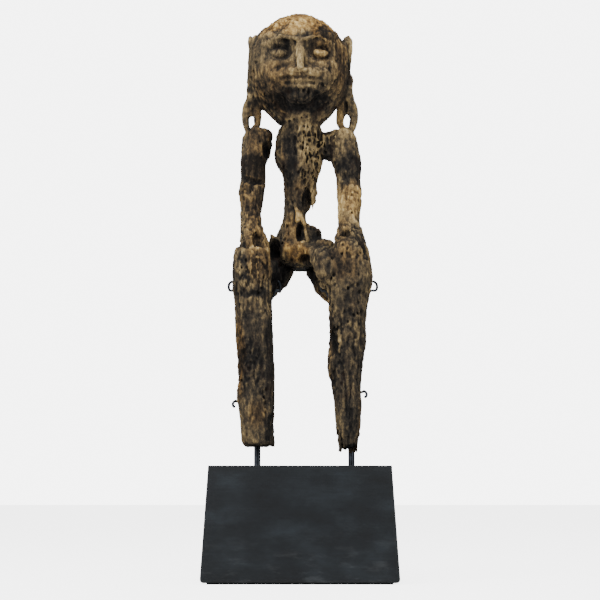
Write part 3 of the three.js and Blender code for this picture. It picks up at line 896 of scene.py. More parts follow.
@dataclass
class AncestorCarving:
    """The carved figure: one log, carved, then weathered along its grain.

    The face is calm and plain: brow, closed oval eyes, a straight wedge of a nose and a shut mouth.
    """

    pitch_mm: float = 1.35
    quick_pitch_mm: float = 2.2
    most_triangles: int = 190000
    fibre_depth: float = 1.8
    raw_allowance: float = 2.4
    rod_room: float = 0.9
    wire_room: float = 0.5
    lift_mm: float = 105.0
    lift_step_mm: float = 2.5
    smoothing_mm: float = 1.6
    face_wander: float = 1.5
    body_wander: float = 6.0
    splinter_wander: float = 2.5
    drift_mm: float = 12.0
    pit_depth: float = 3.6
    crack_depth: float = 3.0
    comb_depth: float = 9.0
    foot_depth: float = 10.0
    foot_height: float = 18.0
    material: bpy.types.Material | None = None

    # Each noise's cell in millimetres, and its seed.
    NOISES = {
        "ragged": ((9, 9, 14), 20),
        "drift_x": ((50, 50, 110), 1),
        "drift_y": ((50, 50, 110), 2),
        "coarse": ((5.6, 5.6, 32), 3),
        "fine": ((3.0, 3.0, 13), 4),
        "grit": ((2.8, 2.8, 4), 14),
        "lumps": ((13, 13, 22), 5),
        "small_lumps": ((6.5, 6.5, 9), 15),
        "rot": ((38, 38, 62), 6),
        "pitted_areas": ((28, 28, 44), 8),
        "cracks": ((15, 15, 75), 9),
        "cracked_areas": ((30, 30, 40), 10),
        "foot_ends": ((10, 10, 60), 13),
        "patch_edges": ((12, 12, 22), 21),
        "clouds": ((26, 26, 48), 11),
        "ochre_areas": ((34, 34, 60), 22),
    }
    PITS = ((8, 8, 12), 7)
    COMB = ((5.8, 7, 14), 12)

    EYE_LINE = 631.0
    NOSE_LINE = 597.0
    MOUTH_LINE = 579.0

    def face(self) -> list[Boss | Bar]:
        """The face's marks, in the order of working."""
        eye, nose, mouth = self.EYE_LINE, self.NOSE_LINE, self.MOUTH_LINE
        swell, gouge = Tool.SWELL, Tool.GOUGE
        marks: list[Boss | Bar] = [Boss(swell, (0, -49, mouth), (52, 24, 24), 8)]
        marks += mirrored(
            Boss(swell, (34, -48, 660), (26, 14, 14), 8),
            Boss(swell, (40, -44, 604), (22, 18, 20), 10),
            Bar(swell, ((6, -69, eye + 20), (30, -68, eye + 24), (58, -50, eye + 16)), (5, 4), 6),
            Boss(gouge, (33, -76, eye), (25, 19, 15), 5),
            Boss(swell, (33, -54, eye - 1), (17, 14, 11), 2),
            Bar(
                gouge,
                ((19, -66, eye - 3), (33, -70, eye - 7), (47, -64, eye - 3)),
                (0.9, 0.9),
                0.8,
            ),
        )
        marks += [
            Bar(swell, ((0, -64, eye + 18), (0, -73, eye), (0, -81, nose + 5)), (6, 8), 5),
            *mirrored(Boss(swell, (8.5, -75, nose), (6.5, 7, 6), 3)),
            *mirrored(Boss(gouge, (5, -81, nose - 6), (2.6, 4, 3.2), 1)),
            Boss(gouge, (0, -96, mouth), (60, 19, 20), 6),
            self.lip(swell, 21, (-66, mouth + 2), (-73, mouth + 4), 4, 5),
            self.lip(swell, 17, (-66, mouth - 5), (-72, mouth - 6), 4, 5),
            self.lip(gouge, 22, (-71, mouth - 1), (-77, mouth - 1), 1.0, 1),
            Boss(swell, (0, -56, mouth - 19), (24, 18, 13), 8),
        ]
        return marks

    @staticmethod
    def lip(
        tool: Tool,
        half: float,
        end: tuple[float, float],
        middle: tuple[float, float],
        radius: float,
        soft: float,
    ) -> Bar:
        """A level bar across the middle of the face, bowed forward.

        Args:
            tool: Whether it is added or taken out.
            half: How far it runs to each side.
            end: The depth and height of its ends.
            middle: The depth and height of its middle.
            radius: How thick it is.
            soft: How far it is blended in.

        Returns:
            The mark.
        """
        path = ((-half, *end), (0, *middle), (half, *end))
        return Bar(tool, path, (radius, radius), soft)

    def body(self) -> list[Boss | Bar]:
        """The marks on the ears, trunk, arms and legs."""
        swell, gouge = Tool.SWELL, Tool.GOUGE
        return [
            *mirrored(Boss(gouge, (87, -10, 640), (4, 6, 22), 2)),
            *mirrored(Boss(swell, (73, -2, 660), (9, 15, 17), 4)),
            Boss(swell, (80, 0, 656), (8, 10, 16), 4),
            Boss(gouge, (-78, 2, 533), (5.4, 22, 8.5), 1),
            Boss(gouge, (76, 2, 534), (5.4, 22, 11), 1),
            Boss(gouge, (-76, -10, 550), (1.8, 5, 10), 1),
            Boss(gouge, (75, -10, 557), (2.2, 5, 10), 1),
            # The split down the right of the chest, the hollow under it and its torn lower edge.
            Bar(gouge, ((7, -25, 436), (5, -25, 418), (8, -23, 404)), (0.8, 1.4), 1),
            Boss(gouge, (15, -16, 396), (5.5, 15, 8), 1.5),
            Boss(swell, (22, -13, 424), (7, 7, 18), 4),
            # The hollows beside the belly's splinter, and the rotted pocket under it.
            Boss(gouge, (0, -24, 350), (5.4, 9, 14), 1.5),
            Bar(gouge, ((-12, -20, 388), (-10, -23, 366)), (1.0, 1.6), 1),
            # The hips, the boss of the pelvis and the pocket in it.
            Bar(swell, ((17, -8, 353), (31, -5, 350)), (4, 3.4), 1.5),
            Boss(swell, (-2, -20, 319), (26, 8, 15), 8),
            Boss(swell, (24, -16, 318), (18, 12, 15), 10),
            Boss(swell, (41, -50, 285), (24, 34, 36), 12),
            Boss(swell, (31, -32, 306), (22, 22, 20), 14),
            Boss(gouge, (0, -34, 272), (46, 25, 23), 5),
            Boss(gouge, (9, -34, 303), (6.5, 15, 8), 2),
            Boss(swell, (38, -14, 327), (20, 15, 15), 8),
            Boss(swell, (-40, -10, 330), (13, 15, 15), 6),
            Bar(swell, ((-54, 2, 242), (-36, 4, 262), (-19.5, 6, 289)), (11, 11), 4),
            Bar(swell, ((53, 2, 242), (34, 4, 262), (19.5, 6, 289)), (11, 11), 4),
            Bar(swell, ((-45, -14, 343), (-33, -18, 341)), (4, 3), 2),
            Boss(gouge, (-40, -22, 320), (8, 14, 16), 3),
            # The shoulders.
            Boss(swell, (-52, -8, 508), (8, 14, 8), 2),
            Boss(swell, (-52, -8, 500), (7, 13, 8), 2),
            Boss(gouge, (-52, -14, 482), (7, 9, 12), 2),
            Boss(gouge, (47, -29, 468), (4, 10, 15), 3),
            Boss(swell, (50, -8, 505), (16, 15, 12), 4),
            Boss(swell, (51, -20, 506), (8, 6, 8), 1),
            Boss(gouge, (51.7, -27, 506), (1.7, 8, 3.4), 0.6),
            # The elbows: a worn step round each arm.
            Bar(gouge, ((-95, -18, 433), (-76, -26, 431), (-60, -18, 432)), (1.0, 1.0), 3),
            Bar(swell, ((70, -19, 428), (80, -21, 430), (92, -16, 428)), (3.2, 3.2), 3),
            Bar(gouge, ((66, -22, 437), (79, -28, 438), (94, -20, 436)), (1.2, 1.2), 3),
            # The hands on the knees.
            Boss(gouge, (-64, -60, 329), (5.5, 11, 12), 2),
            Bar(gouge, ((-100, -66, 323), (-80, -72, 321), (-58, -70, 322)), (1.0, 1.0), 3),
            Boss(gouge, (69, -57, 343), (3, 5, 4), 1.5),
            Bar(gouge, ((86, -62, 342), (96, -69, 323), (105, -73, 304)), (3.2, 4.4), 1),
            # Below the knees.
            Bar(gouge, ((-82, -87, 241), (-66, -88, 245), (-50, -82, 248)), (3.4, 3.4), 2),
            Boss(swell, (46, -58, 128), (5, 10, 16), 4),
            Boss(swell, (93, -57, 68), (5.5, 8, 5), 3),
            Boss(gouge, (47, -76, 172), (6, 8, 20), 3),
        ]

    def splinters(self) -> list[Boss | Bar]:
        """What stands out sharp from the worn surface, worked last."""
        swell, gouge = Tool.SWELL, Tool.GOUGE
        return [
            # The torn lower edge of the chest.
            Bar(swell, ((21, -11, 410), (21.5, -10, 387)), (3.4, 0.8), 1),
            Bar(swell, ((13, -9, 404), (12.5, -8, 383)), (3.6, 1.0), 1),
            # The upright splinter on the belly, pointed at the top, and the ledge below.
            Bar(swell, ((-8, -21, 392), (-5, -26, 378), (-4, -27, 367)), (1.4, 3.4), 1),
            Bar(swell, ((-7, -22, 391), (1, -26, 376), (8, -26, 361)), (1.4, 3.0), 1),
            Boss(swell, (-2, -22, 375), (6, 6, 10), 1),
            Bar(swell, ((8, -24, 364), (9, -25, 350), (13, -24, 335)), (2.4, 2.6), 1),
            Bar(swell, ((0, -22, 332), (12, -22, 333)), (1.6, 1.4), 1),
            Bar(gouge, ((-5, -31, 386), (-3, -33, 366)), (1.2, 1.2), 1),
            Bar(gouge, ((1, -32, 378), (2, -33, 368)), (0.9, 1.4), 1),
            # The steep sides of the arch between the thighs.
            Bar(swell, ((-25, 0, 268), (-14.5, 0, 287)), (5, 5), 3),
            Bar(swell, ((26, 0, 268), (14.5, 0, 287)), (5, 5), 3),
        ]

    # Painted shade, mostly. These patches darken where shadow falls: under the jaw and the ears, in
    # the armpits and under the upper arms, in the hollows of the chest, belly, pelvis and hands,
    # between the knees and the pelvis, under the thighs, below the knees and down the inner sides
    # of the shins. The patches low on the shins and at the feet darken the wood there.
    SHADOWED_AND_STAINED = (
        Patch((36, -48, 668), (25, 40, 17), 0.75),
        Patch((0, -44, 556), (66, 50, 16), 0.9),
        Patch((-76, 0, 545), (20, 30, 36), 0.6),
        Patch((-14, -22, 482), (15, 22, 50), 0.75),
        Patch((0, -22, 430), (30, 22, 44), 0.35),
        Patch((-51, -10, 506), (9, 20, 12), 0.8),
        Patch((-76, -14, 420), (28, 40, 100), 0.35),
        Patch((46, -12, 474), (9, 22, 26), 0.95),
        Patch((-76, -10, 456), (28, 34, 24), 0.75),
        Patch((-54, -8, 484), (9, 24, 18), 0.9),
        Patch((76, -12, 456), (27, 34, 20), 0.7),
        Patch((6, -20, 404), (12, 16, 20), 1.0),
        Patch((0, -18, 349), (8, 16, 16), 0.8),
        Patch((-39, -12, 320), (14, 34, 27), 0.95),
        Patch((-26, 0, 280), (30, 54, 36), 1.0),
        Patch((8, 0, 282), (18, 50, 18), 0.9),
        Patch((10, -24, 302), (8, 18, 10), 0.9),
        Patch((25, -10, 347), (12, 18, 14), 0.55),
        Patch((-63, -56, 330), (8, 14, 14), 0.8),
        Patch((96, -54, 322), (9, 20, 24), 0.9),
        Patch((-86, -80, 296), (6, 16, 9), 0.7),
        Patch((-88, -80, 268), (6, 16, 6), 0.7),
        Patch((-64, -80, 245), (22, 24, 10), 0.95),
        Patch((84, -74, 236), (30, 34, 54), 0.35),
        Patch((50, -64, 178), (10, 34, 28), 0.9),
        Patch((-43, -54, 110), (15, 50, 134), 0.75),
        Patch((-70, -60, 120), (34, 50, 130), 0.25),
        Patch((80, -60, 100), (34, 50, 120), 0.5),
        Patch((-66, -56, 0), (44, 50, 20), 1.1),
        Patch((80, -56, 0), (44, 50, 18), 1.1),
    )
    # Painted highlights with paler wood. These patches lighten lit tops and ledges: the top of the
    # head, the face, the right ear, the shoulders, the chest, the forearms, the belly's splinter
    # and ledge, the pelvis boss and the top of the left knee.
    LIT_AND_BLEACHED = (
        Patch((0, -40, 690), (75, 80, 34), 0.9),
        Patch((0, -66, 612), (64, 34, 34), 0.35),
        Patch((84, 0, 650), (10, 20, 26), 0.8),
        Patch((80, -20, 385), (24, 44, 46), 0.9),
        Patch((78, -14, 512), (26, 30, 14), 0.6),
        Patch((51, -24, 506), (9, 14, 10), 1.0),
        Patch((22, -30, 480), (28, 12, 50), 0.1),
        Patch((-78, -20, 378), (22, 40, 48), 0.35),
        Patch((-1, -27, 376), (9, 12, 15), 0.25),
        Patch((6, -25, 333), (9, 9, 3), 0.7),
        Patch((-2, -26, 322), (26, 20, 14), 0.3),
        Patch((0, -26, 522), (34, 24, 16), 0.5),
        Patch((-70, -72, 317), (14, 20, 4), 0.8),
    )
    OCHRE = (
        Patch((-2, -20, 316), (28, 24, 20), 0.9),
        Patch((-92, -60, 140), (11, 40, 60), 0.9),
        Patch((-45, -10, 476), (9, 26, 50), 0.7),
        Patch((80, -10, 390), (24, 40, 44), 0.6),
        Patch((0, -30, 692), (76, 80, 34), 0.9),
        Patch((-14, -18, 350), (12, 20, 40), 0.5),
        Patch((70, -70, 290), (30, 30, 40), 0.4),
    )
    HONEYCOMB = (
        Patch((24, -24, 484), (28, 24, 42), 1.0),
        Patch((15, -20, 436), (15, 20, 34), 0.9),
    )
    PITTED = (
        Patch((74, -72, 284), (34, 30, 44), 1.0),
        Patch((82, -30, 352), (22, 36, 18), 0.9),
        Patch((-80, -78, 280), (24, 24, 34), 0.5),
    )
    SHELTERED = (
        Patch((0, -66, 618), (54, 26, 60), 1.0),
        Patch((80, 0, 652), (18, 24, 28), 1.0),
        Patch((-80, 0, 652), (18, 24, 28), 1.0),
        Patch((-80, 0, 545), (24, 24, 44), 1.3),
        Patch((80, 0, 545), (24, 24, 44), 1.3),
    )

    def noise(self, name: str, points: Array) -> Array:
        """One of the carving's noises at each place."""
        return value_noise(points, *self.NOISES[name])

    def build(self) -> None:
        """Carves, weathers and dresses the figure."""
        block = CarvingBlock(self.pitch_mm)
        block.load("carved_figure")
        block.values = block.smooth(self.smoothing_mm) - np.float32(self.raw_allowance)
        self.carve(block, self.face(), self.face_wander)
        self.carve(block, self.body(), self.body_wander)
        self.weather(block)
        self.carve(block, self.splinters(), self.splinter_wander)
        self.leave_room(block)
        points, faces = largest_shell(*block.surface())
        points[:, 2] += block.foot
        name = "carved_figure_weathered"
        mesh = self.thin(mesh_from_arrays(name, points * MM, faces))
        self.mark(mesh, block)
        make_piece(name, mesh, Body.FIGURE, Slot.WOOD, self.material, ["carved_figure"])

    @staticmethod
    def carve(block: CarvingBlock, marks: list[Boss | Bar], wander: float) -> None:
        """Works marks into the block, in their order.

        Args:
            block: The carving's grid.
            marks: What is added and taken out.
            wander: How far the marks stray from their shapes.
        """
        block.wander = wander
        for mark in marks:
            mark.apply(block)

    def thin(self, mesh: bpy.types.Mesh) -> bpy.types.Mesh:
        """Brings a mesh down to the most triangles that a piece may have.

        Args:
            mesh: The full mesh.

        Returns:
            The lighter mesh.
        """
        holder = put_in_scene("carving_work", mesh)
        triangles = 2 * len(mesh.polygons)
        modifier = holder.modifiers.new("thin", "DECIMATE")
        modifier.ratio = min(1.0, self.most_triangles / triangles)
        light = finished_mesh(holder)
        light.shade_smooth()
        LOG.info("carving: %d triangles thinned to %d faces", triangles, len(light.polygons))
        return light

    def weather(self, block: CarvingBlock) -> None:
        """Wears the surface back along the grain.

        Args:
            block: The carving's grid.
        """
        index = np.nonzero((block.values > -11) & (block.values < 5))
        points = (np.stack(index, 1) * block.pitch + block.low).astype(np.float32)
        ragged = self.noise("ragged", points)
        drift = points.copy()
        drift[:, 0] += self.drift_mm * (self.noise("drift_x", points) - 0.5)
        drift[:, 1] += self.drift_mm * (self.noise("drift_y", points) - 0.5)
        coarse = 1 - np.abs(2 * self.noise("coarse", drift) - 1)
        fine = 1 - np.abs(2 * self.noise("fine", drift) - 1)
        grit = self.noise("grit", points)
        lumps = 0.55 * self.noise("lumps", points)
        lumps += 0.6 * self.noise("small_lumps", points)
        rot = smooth_step(0.3, 0.72, self.noise("rot", points))
        sheltered = sum(patch.share(points, ragged) for patch in self.SHELTERED)
        depth = self.fibre_depth * (0.6 + 0.7 * rot) * (1 - 0.55 * sheltered)
        cut = depth * (0.75 * coarse**3 + 0.75 * fine**2 + 1.0 * grit)
        cut += (1.5 + 2.6 * rot) * lumps * (1 - 0.6 * sheltered)
        pitted = sum(patch.share(points, ragged) for patch in self.PITTED)
        nearest, _ = cell_noise(drift, *self.PITS)
        many = smooth_step(0.55, 0.8, self.noise("pitted_areas", points)) * (1 - sheltered)
        cut += self.pit_depth * smooth_step(0.36, 0.14, nearest) * np.clip(pitted + many, 0, 1)
        line = np.abs(2 * self.noise("cracks", drift) - 1)
        open_here = smooth_step(0.55, 0.75, self.noise("cracked_areas", points)) * (1 - sheltered)
        cut += self.crack_depth * smooth_step(0.07, 0.02, line) * open_here
        comb = np.clip(sum(patch.share(points, ragged) for patch in self.HONEYCOMB), 0, 1)
        nearest, second = cell_noise(drift, *self.COMB)
        cut += self.comb_depth * comb * smooth_step(0.1, 0.32, second - nearest)
        foot = smooth_step(self.foot_height, 4, points[:, 2])
        cut += self.foot_depth * foot * smooth_step(0.3, 0.75, self.noise("foot_ends", points))
        block.values[index] += cut

    def leave_room(self, block: CarvingBlock) -> None:
        """Keeps the wood off the rods and the wires, at rest and as the figure is lifted off.

        Args:
            block: The carving's grid.
        """
        runs: list[tuple[list[Place], float]] = []
        stand = DisplayStand()
        for side in ("left", "right"):
            low, high = (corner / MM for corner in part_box("rod_" + side))
            middle = (low + high) / 2
            rod = [(middle.x, middle.y, block.foot - 60), (middle.x, middle.y, high.z)]
            runs.append((rod, (high.x - low.x) / 2 + self.rod_room))
            reach = stand.wire_mm / 2 + self.wire_room
            for drop in np.arange(0, self.lift_mm, self.lift_step_mm):
                for path in (stand.cradle_path(side), stand.hook_path(side)[:-3]):
                    runs.append(([(x, y, z - drop) for x, y, z in path], reach))
        for path, reach in runs:
            points = np.array(path, float) - (0, 0, block.foot)
            where, places = block.near(points.min(0) - reach - 2, points.max(0) + reach + 2)
            part = block.values[where]
            close = np.nonzero(part.ravel() < 1)[0]
            if not len(close):
                continue
            nearest = np.full(len(close), 99.0, np.float32)
            for start, end in zip(points, points[1:]):
                nearest = np.minimum(nearest, rod_shape(places[close], start, end, (reach, reach)))
            kept = part.ravel()
            kept[close] = np.maximum(kept[close], -nearest)
            block.values[where] = kept.reshape(part.shape)

    def mark(self, mesh: bpy.types.Mesh, block: CarvingBlock) -> None:
        """Records what the material needs at each point: how proud, for painted shade in the
        hollows; how stained, together with painted shade and painted highlights; how ochre.

        Args:
            mesh: The finished mesh.
            block: The carving's grid.
        """
        count = len(mesh.vertices)
        points = np.empty(count * 3, np.float32)
        mesh.vertices.foreach_get("co", points)
        points = points.reshape(-1, 3) / MM
        points[:, 2] -= block.foot
        normals = np.empty(count * 3, np.float32)
        mesh.vertices.foreach_get("normal", normals)
        down = np.clip(-normals.reshape(-1, 3)[:, 2], 0, 1)
        # How proud or hollow the surface is. The material uses it to paint the hollows dark, as
        # painted shade.
        proud = block.sample(block.smooth(2.6), points)
        deep = block.sample(block.smooth(7.0), points)
        ridge = np.clip(0.5 + proud / 3.2 + deep / 9.0, 0, 1)
        ragged = self.noise("patch_edges", points)
        cloud = smooth_step(0.5, 0.8, self.noise("clouds", points))
        # Cloudy stains, plus painted shade on faces that look down, such as under the jaw, the arms
        # and the thighs.
        stain = 0.45 * cloud + 0.5 * smooth_step(0.25, 0.9, down)
        # Patches of painted shade and darker wood add to it. Patches of painted highlight and paler
        # wood take from it.
        stain += sum(patch.share(points, ragged) for patch in self.SHADOWED_AND_STAINED)
        stain -= sum(patch.share(points, ragged) for patch in self.LIT_AND_BLEACHED)
        ochre = sum(patch.share(points, ragged) for patch in self.OCHRE)
        ochre += 0.5 * smooth_step(0.5, 0.75, self.noise("ochre_areas", points))
        for name, values in (("ridge", ridge), ("stain", stain), ("ochre", ochre)):
            layer = mesh.attributes.new(name, "FLOAT", "POINT")
            layer.data.foreach_set("value", np.clip(values, -1, 1).astype(np.float32))


# ---------------------------------------------------------------------------------------
# The stand
# ---------------------------------------------------------------------------------------


def turned(
    profile: Sequence[tuple[float, float]], centre: Vector, sides: int = 48
) -> bpy.types.Mesh:
    """Turns a profile round an upright line into a closed smooth mesh.

    Args:
        profile: Radius and height pairs in metres, from the bottom pole to the top one.
        centre: Where the line stands.
        sides: How many faces there are round it.

    Returns:
        The mesh.
    """
    shape = bmesh.new()
    rings = []
    for radius, height in profile:
        if radius == 0:
            rings.append([shape.verts.new((centre.x, centre.y, height))])
            continue
        angles = [math.tau * i / sides for i in range(sides)]
        spots = [(radius * math.cos(a), radius * math.sin(a)) for a in angles]
        rings.append([shape.verts.new((centre.x + x, centre.y + y, height)) for x, y in spots])
    for low, high in zip(rings, rings[1:]):
        for i in range(sides):
            j = (i + 1) % sides
            if len(low) == 1:
                shape.faces.new((low[0], high[j], high[i]))
            elif len(high) == 1:
                shape.faces.new((low[i], low[j], high[0]))
            else:
                shape.faces.new((low[i], low[j], high[j], high[i]))
    mesh = bpy.data.meshes.new("turned")
    shape.to_mesh(mesh)
    shape.free()
    mesh.shade_smooth()
    mesh.set_sharp_from_angle(angle=math.radians(50))
    return mesh


@dataclass
class SoftenedPiece:
    """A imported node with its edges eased, as a made thing's are."""

    node: str
    slot: Slot
    material: bpy.types.Material
    edge_mm: float
    segments: int = 3

    def build(self) -> None:
        """Eases the edges and puts the piece on the stand."""
        shape = merged_copy(self.node)
        whole = {"verts": shape.verts, "edges": shape.edges}
        bmesh.ops.dissolve_limit(shape, angle_limit=math.radians(1), **whole)
        mesh = bpy.data.meshes.new(self.node)
        shape.to_mesh(mesh)
        shape.free()
        holder = put_in_scene("softening", mesh)
        bevel = holder.modifiers.new("ease", "BEVEL")
        bevel.width = self.edge_mm * MM
        bevel.segments = self.segments
        bevel.limit_method = "ANGLE"
        bevel.angle_limit = math.radians(28)
        mesh = finished_mesh(holder)
        mesh.shade_smooth()
        mesh.set_sharp_from_angle(angle=math.radians(25))
        name = self.node + "_finished"
        make_piece(name, mesh, Body.STAND, self.slot, self.material, [self.node])


@dataclass
class DisplayRod:
    """A round bar with a threaded spigot at the foot and a weld bead at the top."""

    node: str
    cradle: str
    material: bpy.types.Material
    seat_z: float
    spigot_radius: float = 0.004
    thread_pitch: float = 0.00125
    thread_turns: int = 16
    thread_depth: float = 0.0006
    chamfer: float = 0.001

    # The bead's width as a share of the bar's, and its height above the bar and above the wire.
    BEAD_FOOT = ((0.0, -0.0001), (0.7, -0.0001), (0.78, 0.0004), (0.66, 0.0011))
    BEAD_TOP = ((0.48, 0.0014), (0.0, 0.0016))

    def build(self) -> None:
        """Turns the bar and its bead."""
        low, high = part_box(self.node)
        middle = (low + high) / 2
        radius = (high.x - low.x) / 2
        root = self.spigot_radius - self.thread_depth
        profile = [(0.0, low.z), (root, low.z)]
        for turn in range(self.thread_turns):
            bottom = low.z + self.thread_pitch * turn
            profile.append((root, bottom + 0.2 * self.thread_pitch))
            profile.append((self.spigot_radius, bottom + 0.5 * self.thread_pitch))
            profile.append((root, bottom + 0.8 * self.thread_pitch))
        profile += [
            (self.spigot_radius, low.z + self.thread_pitch * (self.thread_turns + 0.5)),
            (self.spigot_radius, self.seat_z),
            (radius, self.seat_z),
            (radius, high.z - self.chamfer),
            (radius - self.chamfer, high.z),
            (0.0, high.z),
        ]
        finish = (Body.STAND, Slot.STEEL, self.material)
        make_piece(self.node + "_bar", turned(profile, middle), *finish, [self.node])
        wire_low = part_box(self.cradle)[0].z
        bead = [(radius * wide, high.z + up) for wide, up in self.BEAD_FOOT]
        bead += [(radius * wide, wire_low + up) for wide, up in self.BEAD_TOP]
        make_piece(self.node + "_weld", turned(bead, middle, 24), *finish)


@dataclass
class BentWire:
    """Round wire bent along a path, with rounded ends."""

    node: str
    path: list[Place]
    material: bpy.types.Material
    diameter: float = 0.004
    step: float = 0.0005
    sides: int = 16

    def build(self) -> None:
        """Sweeps the wire with Geometry Nodes and puts it on the stand."""
        line = bpy.data.meshes.new("path")
        edges = [(i, i + 1) for i in range(len(self.path) - 1)]
        line.from_pydata([Vector(point) * MM for point in self.path], edges, [])
        holder = put_in_scene("bending", line)
        modifier = holder.modifiers.new("wire", "NODES")
        modifier.node_group = self.tree()
        sockets = {
            item.name: item.identifier
            for item in modifier.node_group.interface.items_tree
            if item.item_type == "SOCKET" and item.in_out == "INPUT"
        }
        modifier[sockets["Diameter"]] = self.diameter
        modifier[sockets["Step"]] = self.step
        modifier[sockets["Sides"]] = self.sides
        mesh = finished_mesh(holder)
        name = self.node + "_wire"
        make_piece(name, mesh, Body.STAND, Slot.STEEL, self.material, [self.node])

    def tree(self) -> Tree:
        """Makes the tree that sweeps a circle along the path and rounds its ends off."""
        tree = bpy.data.node_groups.new("bent_wire", "GeometryNodeTree")
        for name, way, kind in (
            ("Geometry", "INPUT", "Geometry"),
            ("Diameter", "INPUT", "Float"),
            ("Step", "INPUT", "Float"),
            ("Sides", "INPUT", "Int"),
            ("Geometry", "OUTPUT", "Geometry"),
        ):
            tree.interface.new_socket(name, in_out=way, socket_type="NodeSocket" + kind)
        given = add_node(tree, "NodeGroupInput").outputs
        half = add_node(
            tree, "ShaderNodeMath", {"operation": "MULTIPLY"}, {0: given["Diameter"], 1: 0.5}
        ).outputs[0]
        curve = add_node(tree, "GeometryNodeMeshToCurve", inputs={"Mesh": given["Geometry"]})
        bent = add_node(
            tree,
            "GeometryNodeCurveSplineType",
            {"spline_type": "CATMULL_ROM"},
            {"Curve": curve.outputs["Curve"]},
        )
        evenly = add_node(
            tree,
            "GeometryNodeResampleCurve",
            {"mode": "LENGTH"},
            {"Curve": bent.outputs["Curve"], "Length": given["Step"]},
        )
        along = add_node(tree, "GeometryNodeSplineParameter").outputs["Length"]
        whole = add_node(tree, "GeometryNodeSplineLength").outputs["Length"]
        sums = [
            ("SUBTRACT", whole, along),
            ("MINIMUM", None, along),
            ("DIVIDE", None, half),
            ("MINIMUM", None, 1.0),
            ("SUBTRACT", 1.0, None),
            ("POWER", None, 2.0),
            ("SUBTRACT", 1.0, None),
            ("MAXIMUM", None, 0.02),
            ("SQRT", None, 0.0),
        ]
        last = None
        for operation, first, second in sums:
            inputs = {0: last if first is None else first, 1: last if second is None else second}
            last = add_node(tree, "ShaderNodeMath", {"operation": operation}, inputs).outputs[0]
        ended = add_node(
            tree,
            "GeometryNodeSetCurveRadius",
            inputs={"Curve": evenly.outputs["Curve"], "Radius": last},
        )
        circle = add_node(
            tree,
            "GeometryNodeCurvePrimitiveCircle",
            {"mode": "RADIUS"},
            {"Resolution": given["Sides"], "Radius": half},
        )
        swept = add_node(
            tree,
            "GeometryNodeCurveToMesh",
            inputs={
                "Curve": ended.outputs["Curve"],
                "Profile Curve": circle.outputs["Curve"],
                "Scale": last,
                "Fill Caps": True,
            },
        )
        smooth = add_node(
            tree, "GeometryNodeSetShadeSmooth", inputs={"Geometry": swept.outputs["Mesh"]}
        )
        real = add_node(
            tree, "GeometryNodeRealizeInstances", inputs={"Geometry": smooth.outputs["Geometry"]}
        )
        painted = add_node(
            tree,
            "GeometryNodeSetMaterial",
            inputs={"Geometry": real.outputs["Geometry"], "Material": self.material},
        )
        add_node(tree, "NodeGroupOutput", inputs={"Geometry": painted.outputs["Geometry"]})
        return tree


